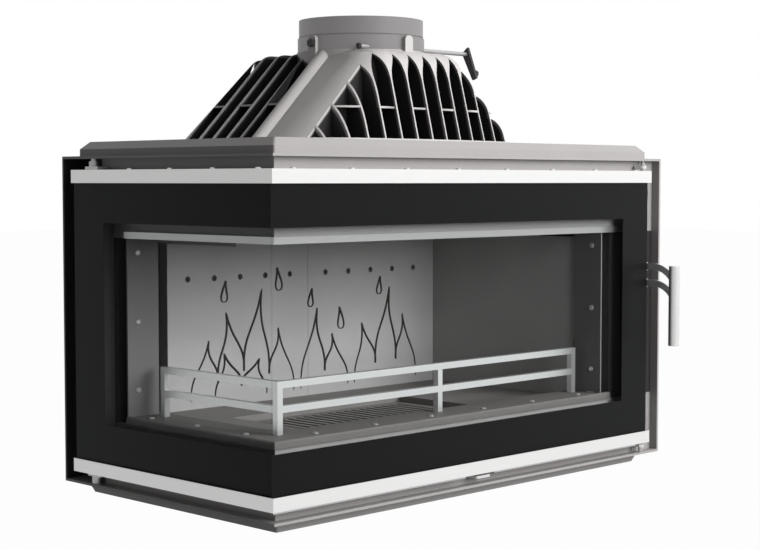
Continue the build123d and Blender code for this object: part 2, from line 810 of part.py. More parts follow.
def glass_back():
    return TRIM_SHEET + GLASS_THICKNESS


def make_door_skin():
    save("top_trim", *trim_pair(door_z1, door_z1 - TRIM_HEIGHT))
    save("bottom_trim", *trim_pair(door_z0, door_z0 + TRIM_HEIGHT))
    z0 = door_z0 + TRIM_SHEET + GLASS_EDGE_GAP
    z1 = door_z1 - TRIM_SHEET - GLASS_EDGE_GAP
    x0 = door_left + TRIM_SHEET
    y0 = door_front + TRIM_SHEET
    front = block(x0, door_right - GLASS_END_SETBACK, y0, y0 + GLASS_THICKNESS, z0, z1)
    save("front_glass", front)
    side_start = y0 + GLASS_THICKNESS + GLASS_CORNER_GAP
    side = block(x0, x0 + GLASS_THICKNESS, side_start, door_rear - GLASS_CORNER_GAP, z0, z1)
    save("side_glass", side)


def stile_right_edge():
    return door_right - STILE_FROM_DOOR_END


def make_door_frame():
    near = glass_back()
    far = near + RAIL_DEPTH
    end_x = stile_right_edge()
    end_y = door_rear - GLASS_CORNER_GAP
    top_high = door_z1 - TRIM_SHEET
    top_low = top_high - RAIL_HEIGHT
    low_low = door_z0 + TRIM_SHEET
    low_high = low_low + RAIL_HEIGHT
    for name, z0, z1 in (("door_top_rail", top_low, top_high), ("door_bottom_rail", low_low, low_high)):
        save(name, front_run(near, far, end_x, z0, z1), side_run(near, far, end_y, z0, z1))
    y0 = door_front + near
    y1 = door_front + far
    stile = block(end_x - STILE_WIDTH, end_x, y0, y1, low_high, top_low)
    save("door_right_stile", stile)
    x0 = door_left + near
    rear_start = door_rear - GLASS_CORNER_GAP - REAR_STILE_LENGTH
    rear = block(x0, x0 + REAR_STILE_SHEET, rear_start, end_y, low_high, top_low)
    rear += block(x0, door_left + far, rear_start, rear_start + STILE_WIDTH, low_high, top_low)
    save("door_rear_stile", rear)


def make_door_seal():
    """The rope seal, one loop along both rails and both stiles."""
    near = glass_back() + RAIL_DEPTH
    far = FRAME_DEPTH - RUNNING_GAP
    x_end = stile_right_edge() - SEAL_INSET
    rear_start = door_rear - GLASS_CORNER_GAP - REAR_STILE_LENGTH
    y_end = rear_start + STILE_WIDTH - SEAL_INSET
    top_high = door_z1 - TRIM_SHEET - SEAL_INSET
    low_low = door_z0 + TRIM_SHEET + SEAL_INSET
    seal = front_run(near, far, x_end, top_high - SEAL_WIDTH, top_high)
    seal += side_run(near, far, y_end, top_high - SEAL_WIDTH, top_high)
    seal += front_run(near, far, x_end, low_low, low_low + SEAL_WIDTH)
    seal += side_run(near, far, y_end, low_low, low_low + SEAL_WIDTH)
    y0 = door_front + near
    y1 = door_front + far
    seal += block(x_end - SEAL_WIDTH, x_end, y0, y1, low_low, top_high)
    x0 = door_left + near
    x1 = door_left + far
    seal += block(x0, x1, y_end - SEAL_WIDTH, y_end, low_low, top_high)
    save("door_seal", seal)


def make_bottom_lip():
    """The narrow strip under the door, notched over the air lever."""
    near = TRIM_SHEET
    far = near + LIP_DEPTH
    end_x = stile_right_edge() - STILE_WIDTH
    z1 = door_z0
    z0 = z1 - LIP_HEIGHT
    front = front_run(near, far, end_x, z0, z1)
    left = door_left + LEVER_LEFT - LEVER_TRAVEL
    right = door_left + LEVER_LEFT + LEVER_WIDTH + LEVER_THICKNESS
    front -= block(left, right, door_front, door_front + FRAME_DEPTH, z0 - 1, z1 + 1)
    save("bottom_lip", *front.solids())


def make_glass_clips():
    """Small clips that hold both panes against the rails, out of sight behind the border."""
    near = glass_back()
    half = CLIP_WIDTH / 2
    top_low = door_z1 - TRIM_SHEET - RAIL_HEIGHT
    low_high = door_z0 + TRIM_SHEET + RAIL_HEIGHT
    clips = []
    for z in (top_low - CLIP_HEIGHT, low_high):
        for share in CLIP_FRONT_SHARES:
            x = door_left + DOOR_WIDTH * share
            y = door_front + near
            clips.append(block(x - half, x + half, y, y + CLIP_SHEET, z, z + CLIP_HEIGHT))
        for share in CLIP_SIDE_SHARES:
            x = door_left + near
            y = door_front + DOOR_DEPTH * share
            clips.append(block(x, x + CLIP_SHEET, y - half, y + half, z, z + CLIP_HEIGHT))
    save("glass_clips", *clips)


def make_trim_screws():
    middle = TRIM_RETURN / 2
    heads = []
    places = [(door_left + TRIM_SCREW_START + TRIM_SCREW_PITCH * i, door_front + middle)
              for i in range(TRIM_SCREW_COUNT)]
    places += [(door_left + middle, door_front + TRIM_SCREW_SIDE_START + TRIM_SCREW_SIDE_PITCH * i)
               for i in range(TRIM_SCREW_SIDE_COUNT)]
    for x, y in places:
        heads.append(dome_screw(x, y, door_z1, TRIM_SCREW_D, TRIM_SCREW_HEIGHT))
        upside_down = dome_screw(0, 0, 0, TRIM_SCREW_D, TRIM_SCREW_HEIGHT)
        heads.append(Pos(x, y, door_z0) * Rot(180, 0, 0) * upside_down)
    lip_end = stile_right_edge() - STILE_WIDTH
    clear = [head for head in heads
             if head.center().Z > door_z0 or head.center().X > lip_end
             or head.center().Y > door_front + TRIM_RETURN]
    save("trim_screws", *clear)


# Handle
def handle_arm(top_z):
    """A flat arm that leaves the hub level and curves down to the bar."""
    arm_x = door_right - BAR_FROM_DOOR_END
    bar_y = door_front - BAR_STANDOUT
    middle_z = top_z - ARM_HEIGHT / 2
    start = (arm_x, spindle_y, middle_z)
    knee = (arm_x, door_front - BAR_STANDOUT * ARM_KNEE_SHARE, middle_z)
    end = (arm_x, bar_y, middle_z - ARM_DROP)
    straight = Line(start, knee)
    bend = TangentArc(knee, end, tangent=(0, -1, 0))
    path = straight + bend
    section = Plane(origin=start, x_dir=(1, 0, 0), z_dir=(0, -1, 0)) * Rectangle(ARM_SHEET, ARM_HEIGHT)
    arm = sweep(section, path=path)
    hub = post(spindle_x, spindle_y, middle_z - HUB_HEIGHT / 2, middle_z + HUB_HEIGHT / 2, HUB_D / 2)
    bore_radius = SPINDLE_D / 2 + BEARING_GAP
    bore = post(spindle_x, spindle_y, middle_z - HUB_HEIGHT, middle_z + HUB_HEIGHT, bore_radius)
    bar_z0 = door_z0 + BAR_BOTTOM
    bar_hole = post(arm_x, bar_y, bar_z0 - 1, bar_z0 + BAR_LENGTH + 1, BAR_D / 2 + BEARING_GAP)
    link = block(spindle_x, arm_x + ARM_SHEET / 2, spindle_y - HUB_LINK / 2, spindle_y + HUB_LINK / 2,
                 middle_z - HUB_HEIGHT / 2, middle_z + HUB_HEIGHT / 2)
    return hub + link + arm - bore - bar_hole


def make_handle():
    z0 = bottom_z1 + SPINDLE_END_GAP
    z1 = top_z0 - SPINDLE_END_GAP
    save("handle_spindle", post(spindle_x, spindle_y, z0, z1, SPINDLE_D / 2))
    upper = door_z0 + ARM_TOP
    save("handle_arms", handle_arm(upper), handle_arm(upper - ARM_SPACING))
    bar_z0 = door_z0 + BAR_BOTTOM
    bar_x = door_right - BAR_FROM_DOOR_END
    bar = post(bar_x, door_front - BAR_STANDOUT, bar_z0, bar_z0 + BAR_LENGTH, BAR_D / 2)
    save("handle_bar", chamfer(bar.edges(), 0.8))


def latch_cam(z0):
    """A hook on the spindle that reaches behind the keeper pin."""
    z1 = z0 + CAM_THICKNESS
    cam = post(spindle_x, spindle_y, z0, z1, HUB_D / 2)
    half = SPINDLE_D / 2
    cam += block(
        spindle_x - half, spindle_x + half, spindle_y, spindle_y + HOOK_START + HOOK_THICKNESS, z0, z1
    )
    cam += block(
        spindle_x - half, spindle_x + HOOK_REACH,
        spindle_y + HOOK_START, spindle_y + HOOK_START + HOOK_THICKNESS, z0, z1,
    )
    return cam - post(spindle_x, spindle_y, z0 - 1, z1 + 1, SPINDLE_D / 2 + BEARING_GAP)


def make_latch():
    top_cam = door_z1 + CAM_LIFT
    low_cam = door_z0 - CAM_LIFT - CAM_THICKNESS
    save("latch_hooks", latch_cam(top_cam), latch_cam(low_cam))
    x = spindle_x + KEEPER_X
    y = spindle_y + KEEPER_Y
    radius = KEEPER_D / 2
    pins = [
        post(x, y, top_cam - RUNNING_GAP, top_z0, radius),
        post(x, y, bottom_z1, low_cam + CAM_THICKNESS + RUNNING_GAP, radius),
    ]
    save("latch_keepers", *pins)
    brackets = []
    x0 = stile_right_edge()
    x1 = spindle_x + SPINDLE_D / 2 + BRACKET_SIDE
    y0 = door_front + glass_back()
    y1 = spindle_y + SPINDLE_D / 2 + BRACKET_BACK
    for z in (door_z0 + RAIL_HEIGHT * 2, door_z1 - RAIL_HEIGHT * 2 - BRACKET_HEIGHT):
        bracket = block(x0, x1, y0, y1, z, z + BRACKET_HEIGHT)
        bracket -= post(spindle_x, spindle_y, z - 1, z + BRACKET_HEIGHT + 1, SPINDLE_D / 2 + BEARING_GAP)
        brackets.append(bracket)
    save("spindle_brackets", *brackets)


# Hinge
def hinge_leaf(z_seat, direction):
    """A leaf on the trim with a barrel round the hinge pin, up or down."""
    x1 = frame_left - LEAF_SETBACK
    x0 = x1 - LEAF_WIDTH
    bar_low = min(z_seat, z_seat + direction * LEAF_THICKNESS)
    leaf = block(x0, x1, hinge_y - LEAF_LENGTH, hinge_y, bar_low, bar_low + LEAF_THICKNESS)
    gap = GAP_ABOVE_DOOR if direction > 0 else GAP_BELOW_DOOR
    reach = z_seat + direction * (gap - PLATE)
    low = min(z_seat, reach)
    high = max(z_seat, reach)
    leaf += post(hinge_x, hinge_y, low, high, BARREL_D / 2)
    return leaf - post(hinge_x, hinge_y, low - 1, high + 1, HINGE_PIN_D / 2 + BEARING_GAP)


def make_hinges():
    save("hinge_leaves", hinge_leaf(door_z1, 1), hinge_leaf(door_z0, -1))
    radius = HINGE_PIN_D / 2
    pins = [
        post(hinge_x, hinge_y, door_z1 + TRIM_SHEET, top_z1, radius),
        post(hinge_x, hinge_y, bottom_z0, door_z0 - TRIM_SHEET, radius),
    ]
    save("hinge_pins", *pins)
    washer_top = bottom_z1 + PLATE - RUNNING_GAP
    washer = post(hinge_x, hinge_y, bottom_z1, washer_top, BARREL_D / 2)
    washer -= post(hinge_x, hinge_y, bottom_z1 - 1, washer_top + 1, radius + BEARING_GAP)
    save("hinge_washer", washer)


# Dome
def arch_cutter(x, y0, y1):
    """An upright slot with a pointed arch top, cut along Y."""
    half = FRONT_SLOT_WIDTH / 2
    z_low = dome_z0 + DOME_FOOT
    z_top = dome_z1 - FRONT_SLOT_TOP
    z_spring = z_top - ARCH_HEIGHT
    radius = (half ** 2 + ARCH_HEIGHT ** 2) / (2 * half)
    turn = math.asin(ARCH_HEIGHT / radius) / 2
    bend_x = half - radius * (1 - math.cos(turn))
    bend_z = z_spring + radius * math.sin(turn)
    with BuildSketch(Plane.XZ) as outline:
        with BuildLine():
            Polyline((x + half, z_spring), (x + half, z_low), (x - half, z_low), (x - half, z_spring))
            ThreePointArc((x - half, z_spring), (x - bend_x, bend_z), (x, z_top))
            ThreePointArc((x, z_top), (x + bend_x, bend_z), (x + half, z_spring))
        make_face()
    return extrude(outline.sketch, until=None, amount=y1 - y0, dir=(0, 1, 0)).moved(Pos(0, y0, 0))


def front_slot_places():
    return [(i - (FRONT_SLOTS - 1) / 2) * FRONT_PITCH for i in range(FRONT_SLOTS)]


def side_slot_cutter(sign, y):
    """A side slot with a sloping floor, open outwards and upwards."""
    outside = sign * (DOME_BASE_HALF + DOME_SHOULDER)
    lean = (SIDE_FLOOR_BASE - SIDE_FLOOR_TOP) / DOME_HEIGHT
    points = [
        (outside, dome_z0 + DOME_FOOT),
        (sign * (SIDE_FLOOR_BASE - lean * DOME_FOOT), dome_z0 + DOME_FOOT),
        (sign * (SIDE_FLOOR_TOP - lean * BEAD_RISE), dome_z1 + BEAD_RISE),
        (outside, dome_z1 + BEAD_RISE),
    ]
    outline = make_face(Polyline(*points, close=True))
    cutter = extrude(Plane.XZ * outline, amount=SIDE_SLOT_WIDTH, dir=(0, 1, 0))
    return Pos(0, y - SIDE_SLOT_WIDTH / 2, 0) * cutter


def front_bow(x):
    """How far the bowed front falls back at a distance from the middle."""
    return x ** 2 / (2 * DOME_BOW_RADIUS)


def dome_outline(left, right, front, rear, corners, z):
    """Plan of the dome at one height, with its left, right and rear corner radii."""
    left_y = front_bow(left) - front
    right_y = front_bow(right) - front
    left_corner, right_corner, rear_corner = corners
    with BuildSketch() as plan:
        with BuildLine():
            ThreePointArc((-left, left_y), (0, -front), (right, right_y))
            Polyline((right, right_y), (right, rear), (-left, rear), (-left, left_y))
        make_face()
        fillet(plan.vertices().sort_by(Axis.Y)[-2:], rear_corner)
        for side, corner in ((1, right_corner), (-1, left_corner)):
            ends = plan.vertices().filter_by(lambda vertex: vertex.X * side > 0)
            fillet(ends.sort_by(Axis.Y)[0], corner)
    return Pos(0, 0, z) * plan.sketch


def dome_envelope():
    low_corners = (LEFT_CORNER_BASE, RIGHT_CORNER_BASE, REAR_CORNER_BASE)
    high_corners = (LEFT_CORNER_TOP, RIGHT_CORNER_TOP, REAR_CORNER_TOP)
    base = dome_outline(DOME_BASE_HALF, DOME_BASE_HALF, DOME_BASE_FRONT, DOME_BASE_REAR,
                        low_corners, dome_z0)
    top = dome_outline(DOME_TOP_LEFT, DOME_TOP_RIGHT, DOME_TOP_FRONT, DOME_TOP_REAR,
                       high_corners, dome_z1)
    body = loft([base, top], ruled=True)
    return fillet(body.edges().group_by(Axis.Z)[-1], DOME_SHOULDER)


def dome_cavity():
    """The hollow under the dome, a wall's thickness inside every slot floor."""
    lean = (SIDE_FLOOR_BASE - SIDE_FLOOR_TOP) / DOME_HEIGHT
    across = DOME_WALL * math.hypot(1, lean)
    low = SIDE_FLOOR_BASE - across
    high = SIDE_FLOOR_TOP + lean * DOME_WALL - across
    y0 = -(FRONT_FLOOR - DOME_FRONT_WALL)
    y1 = REAR_FLOOR - DOME_WALL
    corner = DOME_WALL * 2
    return frustum((-low, low, y0, y1), (-high, high, y0, y1), dome_z0 - 1, dome_z1 - DOME_WALL,
                   corner, corner)


def bead(sign):
    """The round roll that borders the side slots and runs up to the collar."""
    top_half = DOME_TOP_RIGHT if sign > 0 else DOME_TOP_LEFT
    run = DOME_BASE_HALF - top_half
    slant = math.hypot(run, DOME_HEIGHT)
    lean = math.degrees(math.atan2(run, DOME_HEIGHT))
    middle_x = (DOME_BASE_HALF + top_half) / 2 - BEAD_SINK * DOME_HEIGHT / slant
    middle_z = (dome_z0 + dome_z1) / 2 - BEAD_SINK * run / slant
    roll = Cylinder(BEAD_RADIUS, slant * 1.5)
    roll = Pos(sign * middle_x, BEAD_Y, middle_z) * Rot(0, -sign * lean, 0) * roll
    reach = DOME_BASE_HALF * 2
    inner = DOME_SEAT_D / 2 - LUG_THICKNESS
    low, high = sorted((sign * inner, sign * reach))
    return roll & block(low, high, -reach, reach, dome_z0, dome_z1 + BEAD_RISE)


def tie_bars():
    """Short cross bars at mid height in every second slot."""
    bars = []
    z0 = dome_z0 + FRONT_TIE_HEIGHT
    share = FRONT_TIE_HEIGHT / DOME_HEIGHT
    front = DOME_BASE_FRONT - (DOME_BASE_FRONT - DOME_TOP_FRONT) * share - TIE_INSET
    half = FRONT_SLOT_WIDTH / 2 + 1
    for x in front_slot_places()[FIRST_FRONT_TIE::2]:
        y0 = front_bow(x) - front
        bars.append(block(x - half, x + half, y0, 1 - FRONT_FLOOR, z0, z0 + TIE_THICKNESS))
    z0 = dome_z0 + SIDE_TIE_HEIGHT
    share = SIDE_TIE_HEIGHT / DOME_HEIGHT
    left_x = DOME_BASE_HALF - (DOME_BASE_HALF - DOME_TOP_LEFT) * share - TIE_INSET
    right_x = DOME_BASE_HALF - (DOME_BASE_HALF - DOME_TOP_RIGHT) * share - TIE_INSET
    floor_x = SIDE_FLOOR_BASE - (SIDE_FLOOR_BASE - SIDE_FLOOR_TOP) * share
    half = SIDE_SLOT_WIDTH / 2 + 1
    for i in range(0, SIDE_SLOTS, 2):
        y = SIDE_FIRST + SIDE_PITCH * i
        bars.append(block(-left_x, 1 - floor_x, y - half, y + half, z0, z0 + TIE_THICKNESS))
        bars.append(block(floor_x - 1, right_x, y - half, y + half, z0, z0 + TIE_THICKNESS))
    return bars


def collar_lug(angle, root, bolted):
    """A cast ear beside the collar; the two at the sides take a bolt."""
    inner = COLLAR_ROOT_D / 2 + BEARING_GAP
    outer = inner + LUG_THICKNESS
    lug = block(inner - 1, outer, -LUG_WIDTH / 2, LUG_WIDTH / 2, dome_z1 - root, dome_z1 + LUG_HEIGHT)
    upper = lug.edges().filter_by(Axis.X).group_by(Axis.Z)[-1]
    lug = fillet(upper, LUG_WIDTH * 0.4)
    lug -= post(0, 0, seat_z1, dome_z1 + LUG_HEIGHT + 1, inner)
    if bolted:
        lug -= rod_along_x(inner - 2, outer + 1, 0, dome_z1 + LUG_HEIGHT / 2, LUG_BOLT_D / 2)
    return Rot(0, 0, angle) * lug


def make_dome():
    envelope = dome_envelope()
    body = envelope + bead(1) + bead(-1)
    for x in front_slot_places():
        body -= arch_cutter(x, -DOME_BASE_FRONT - DOME_SHOULDER, -FRONT_FLOOR)
        if abs(x) < DOME_TOP_LEFT:
            body -= arch_cutter(x, REAR_FLOOR, DOME_BASE_REAR + DOME_SHOULDER)
    for i in range(SIDE_SLOTS):
        for sign in (-1, 1):
            body -= side_slot_cutter(sign, SIDE_FIRST + SIDE_PITCH * i)
    for bar in tie_bars():
        body += bar & envelope
    body += post(0, 0, dome_z1 - DOME_SEAT_DEPTH, seat_z1, DOME_SEAT_D / 2)
    body -= dome_cavity()
    for angle in (0, 180):
        body += collar_lug(angle, LUG_SIDE_ROOT, True)
    for angle in (90, 270):
        body += collar_lug(angle, LUG_FRONT_ROOT, False)
    body -= post(0, 0, dome_z1 - DOME_BORE_DEPTH, seat_z1 + 1, FLUE_HOLE_D / 2)
    body -= post(0, 0, seat_z1, dome_z1 + LUG_HEIGHT + 1, COLLAR_ROOT_D / 2 + BEARING_GAP)
    save("dome", body)


def make_collar():
    z1 = seat_z1 + COLLAR_HEIGHT
    root_z1 = seat_z1 + COLLAR_ROOT_HEIGHT
    groove_z1 = root_z1 + COLLAR_GROOVE_WIDTH
    tube = post(0, 0, seat_z1, root_z1, COLLAR_ROOT_D / 2)
    tube += post(0, 0, root_z1, groove_z1, COLLAR_D / 2 - COLLAR_GROOVE_DEPTH)
    tube += post(0, 0, groove_z1, z1, COLLAR_D / 2)
    tube -= post(0, 0, seat_z1 - 1, z1 + 1, COLLAR_BORE / 2)
    tube -= rod_along_x(-COLLAR_D, COLLAR_D, -ROD_OFFSET, rod_z, ROD_D / 2 + BEARING_GAP)
    save("flue_collar", tube)
    bolts = []
    outer = COLLAR_ROOT_D / 2 + BEARING_GAP + LUG_THICKNESS
    z = dome_z1 + LUG_HEIGHT / 2
    for angle in (0, 180):
        hexagon = extrude(RegularPolygon(LUG_HEAD_D / 2, 6), amount=LUG_HEAD_LENGTH)
        head = Pos(outer, 0, z) * Rot(0, 90, 0) * hexagon
        shank = rod_along_x(COLLAR_ROOT_D / 2 + RUNNING_GAP, outer + 1, 0, z, LUG_BOLT_D / 2 - BEARING_GAP)
        bolts.append(Rot(0, 0, angle) * (head + shank))
    save("collar_bolts", *bolts)


# Damper
def make_damper():
    left_end = -math.sqrt((COLLAR_D / 2) ** 2 - ROD_OFFSET ** 2) - ROD_LEFT_STANDOUT
    rod = rod_along_x(left_end, ROD_RIGHT_END, -ROD_OFFSET, rod_z, ROD_D / 2)
    save("damper_rod", rod)
    front = -ROD_OFFSET
    disc = post(0, 0, rod_z - FLAP_THICKNESS / 2, rod_z + FLAP_THICKNESS / 2, FLAP_D / 2)
    disc -= block(-FLAP_D, FLAP_D, -FLAP_D, front, rod_z - FLAP_THICKNESS, rod_z + FLAP_THICKNESS)
    sleeve_half = math.sqrt((FLAP_D / 2) ** 2 - ROD_OFFSET ** 2) - SLEEVE_SETBACK
    flap = disc + rod_along_x(-sleeve_half, sleeve_half, front, rod_z, SLEEVE_D / 2)
    flap -= rod_along_x(-FLAP_D, FLAP_D, front, rod_z, ROD_D / 2 + BEARING_GAP)
    hinge = Axis((0, -ROD_OFFSET, rod_z), (1, 0, 0))
    save("damper_flap", flap.rotate(hinge, -FLAP_OPEN_ANGLE))
    half_top = CRANK_TOP_WIDTH / 2
    half_end = CRANK_END_WIDTH / 2
    points = [
        (-half_top, CRANK_TOP), (half_top, CRANK_HEEL),
        (half_end, -CRANK_LENGTH), (-half_end, -CRANK_LENGTH),
    ]
    outline = Plane.YZ * make_face(Polyline(*points, close=True))
    crank = extrude(outline, amount=CRANK_SHEET, dir=(1, 0, 0))
    crank = crank.rotate(Axis.X, -CRANK_TILT)
    save("damper_crank", Pos(ROD_RIGHT_END, -ROD_OFFSET, rod_z) * crank)
    tilt = math.radians(CRANK_TILT)
    bolt_y = -ROD_OFFSET - math.sin(tilt) * CRANK_BOLT_AT
    bolt_z = rod_z - math.cos(tilt) * CRANK_BOLT_AT
    bolt = extrude(RegularPolygon(CRANK_BOLT_D / 2, 6), amount=CRANK_BOLT_HEIGHT)
    bolt = Pos(ROD_RIGHT_END + CRANK_SHEET, bolt_y, bolt_z) * Rot(0, 90, 0) * bolt
    nut = extrude(RegularPolygon(ROD_NUT_D / 2, 6), amount=ROD_NUT_LENGTH)
    nut = Pos(left_end, -ROD_OFFSET, rod_z) * Rot(0, -90, 0) * nut
    save("damper_bolt", bolt, nut)


# Screws on the sill and the post plates
def make_small_screws():
    heads = []
    offset = SILL_SCREW_OFFSET
    for i in range(6):
        x = door_left + SILL_SCREW_FIRST + SILL_SCREW_PITCH * i
        heads.append(dome_screw(x, door_front + offset, sill_z1, PLATE_SCREW_D, PLATE_SCREW_HEIGHT))
    for i in range(3):
        y = door_front + SILL_SCREW_SIDE_FIRST + SILL_SCREW_SIDE_PITCH * i
        heads.append(dome_screw(door_left + offset, y, sill_z1, PLATE_SCREW_D, PLATE_SCREW_HEIGHT))
    upright = dome_screw(0, 0, 0, PLATE_SCREW_D, PLATE_SCREW_HEIGHT)
    for height in POST_SCREW_HEIGHTS:
        z = door_z0 + height + POST_SCREW_RISE
        heads.append(Pos(frame_left + POST_SCREW_OFFSET, post_face, z) * Rot(90, 0, 0) * upright)
        right_place = Pos(wall_right - POST_SHEET, frame_front + POST_SCREW_OFFSET, z)
        heads.append(right_place * Rot(0, -90, 0) * upright)
    save("plate_screws", *heads)


os.makedirs("parts", exist_ok=True)

make_plinth()
make_tray()
make_plates()
make_frame()
make_shell()
make_hearth()
make_sill()
make_lintel()
make_posts()
make_lining()
make_baffles()
make_grate()
make_air_box()
make_ash_pan()
make_air_control()
make_retainer()
make_door_skin()
make_door_frame()
make_door_seal()
make_glass_clips()
make_bottom_lip()
make_trim_screws()
make_handle()
make_latch()
make_hinges()
make_dome()
make_collar()
make_damper()
make_small_screws()
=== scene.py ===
"""Corner fireplace insert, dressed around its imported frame."""

import math

import bmesh
import bpy
import numpy as np
from bpy.props import FloatProperty, FloatVectorProperty, PointerProperty
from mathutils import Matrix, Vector


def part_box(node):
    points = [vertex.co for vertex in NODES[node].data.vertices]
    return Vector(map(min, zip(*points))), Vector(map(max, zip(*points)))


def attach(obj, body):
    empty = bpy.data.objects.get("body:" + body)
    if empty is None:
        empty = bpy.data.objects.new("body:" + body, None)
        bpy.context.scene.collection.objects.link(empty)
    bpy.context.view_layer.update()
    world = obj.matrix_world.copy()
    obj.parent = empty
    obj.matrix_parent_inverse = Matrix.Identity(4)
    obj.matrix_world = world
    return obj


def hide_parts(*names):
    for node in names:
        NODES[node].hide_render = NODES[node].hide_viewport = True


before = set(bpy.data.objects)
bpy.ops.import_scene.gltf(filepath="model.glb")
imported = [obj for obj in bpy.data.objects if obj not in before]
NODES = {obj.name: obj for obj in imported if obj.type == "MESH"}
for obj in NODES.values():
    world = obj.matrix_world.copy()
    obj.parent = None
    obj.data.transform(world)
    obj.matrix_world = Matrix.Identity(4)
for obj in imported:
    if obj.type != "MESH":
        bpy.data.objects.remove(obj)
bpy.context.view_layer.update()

bl_info = {
    "name": "Corner Fireplace Insert",
    "version": (1, 0, 0),
    "blender": (4, 5, 0),
    "location": "View3D > Sidebar > Insert",
    "description": "Builds the panes, castings, screws and finishes of a corner fireplace insert",
    "category": "Add Mesh",
}

# Places of the frame that the pieces are fitted to

FRONT_PANE_LOW, FRONT_PANE_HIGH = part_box("front_glass")
SIDE_PANE_LOW, SIDE_PANE_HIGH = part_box("side_glass")
TOP_TRIM_LOW, TOP_TRIM_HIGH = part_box("top_trim")
LINING_LOW, LINING_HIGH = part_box("back_lining")
DOOR_LOW_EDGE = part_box("bottom_trim")[0].z
DOOR_HIGH_EDGE = TOP_TRIM_HIGH.z
TRIM_BAND = TOP_TRIM_HIGH.z - TOP_TRIM_LOW.z
DOME_FOOT_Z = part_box("dome")[0].z


# Sizes and colours that a user may change

def length(default, text):
    """A length in metres with its own words."""
    return FloatProperty(name=text, description=f"{text}, in metres", default=default, unit="LENGTH")


def colour(default, text):
    """A plain colour with its own words."""
    return FloatVectorProperty(
        name=text, description=f"{text} of the finish", default=default, size=3, min=0, max=1, subtype="COLOR"
    )


class InsertSizes(bpy.types.PropertyGroup):
    """Sizes of the pieces that are added to the frame."""

    border_top: length(0.060, "Enamel border above the window")
    border_bottom: length(0.058, "Enamel border below the window")
    border_right: length(0.073, "Enamel border at the handle end")
    border_rear: length(0.075, "Enamel border at the hinge end")
    border_sheet: length(0.0003, "Enamel thickness")
    flame_line: length(0.0021, "Half width of a flame line")
    flame_height: length(0.175, "Height of the tallest flame")
    casting_edge: length(0.0012, "Rounding on the casting's edges")


class InsertColours(bpy.types.PropertyGroup):
    """Colours of the finishes."""

    body_paint: colour((0.210, 0.201, 0.198), "Body paint")
    dark_paint: colour((0.020, 0.018, 0.018), "Dark paint")
    casting: colour((0.370, 0.357, 0.353), "Casting paint")
    dark_casting: colour((0.210, 0.198, 0.193), "Hearth casting")
    sill_casting: colour((0.125, 0.117, 0.114), "Sill casting")
    lining: colour((0.350, 0.340, 0.336), "Fire lining")
    post_paint: colour((0.115, 0.111, 0.110), "Post plates")
    trim_steel: colour((0.86, 0.855, 0.85), "Brushed trim")
    bright_steel: colour((0.80, 0.795, 0.79), "Bright steel")
    plain_steel: colour((0.52, 0.51, 0.51), "Plain steel")
    collar_steel: colour((0.33, 0.32, 0.32), "Flue collar")
    enamel: colour((0.004, 0.004, 0.004), "Enamel border")
    rope: colour((0.030, 0.029, 0.028), "Rope seal")


class StageSettings(bpy.types.PropertyGroup):
    """Where the camera stands and how strong the even light is."""

    camera_place: FloatVectorProperty(
        name="Camera place", description="Where the camera stands, in metres",
        default=(-1.8641, -1.9009, 0.4884), size=3, subtype="TRANSLATION",
    )
    camera_heading: FloatProperty(
        name="Camera heading", description="Turn of the view from +Y towards +X",
        default=math.radians(45.10), subtype="ANGLE",
    )
    camera_dip: FloatProperty(
        name="Camera dip", description="How far the view looks down",
        default=math.radians(3.29), subtype="ANGLE",
    )
    lens: FloatProperty(
        name="Lens", description="Focal length in millimetres on a 36 mm sensor", default=77.64
    )
    world_light: FloatProperty(name="World light", description="Strength of the even light", default=0.30)


# Shader maths and nodes

# Sockets of a Mix node that mixes colours
MIX_FIRST, MIX_SECOND, MIX_RESULT = 6, 7, 2


def shade(tone, factor):
    """A colour made darker or lighter by a factor."""
    return tuple(min(1.0, channel * factor) for channel in tone)


def full(tone):
    """A colour with full alpha."""
    return (*tone, 1.0)


class Level:
    """A number in a node tree that can be used in ordinary arithmetic."""

    def __init__(self, tree, socket):
        self.tree = tree
        self.socket = socket

    def join(self, operation, *values, clamp=False):
        """One Math node fed by these numbers, in this order."""
        node = self.tree.nodes.new("ShaderNodeMath")
        node.operation = operation
        node.use_clamp = clamp
        for slot, value in zip(node.inputs, values):
            if isinstance(value, Level):
                self.tree.links.new(value.socket, slot)
            else:
                slot.default_value = value
        return Level(self.tree, node.outputs[0])

    def __add__(self, other):
        return self.join("ADD", self, other)

    def __sub__(self, other):
        return self.join("SUBTRACT", self, other)

    def __rsub__(self, other):
        return self.join("SUBTRACT", other, self)

    def __mul__(self, other):
        return self.join("MULTIPLY", self, other)

    def clamped(self):
        """The number held between 0 and 1."""
        return self.join("ADD", self, 0.0, clamp=True)

    def about(self, middle, spread):
        """The number, from 0 to 1, spread evenly about a middle value."""
        return self * spread + (middle - spread / 2)

    __radd__ = __add__
    __rmul__ = __mul__


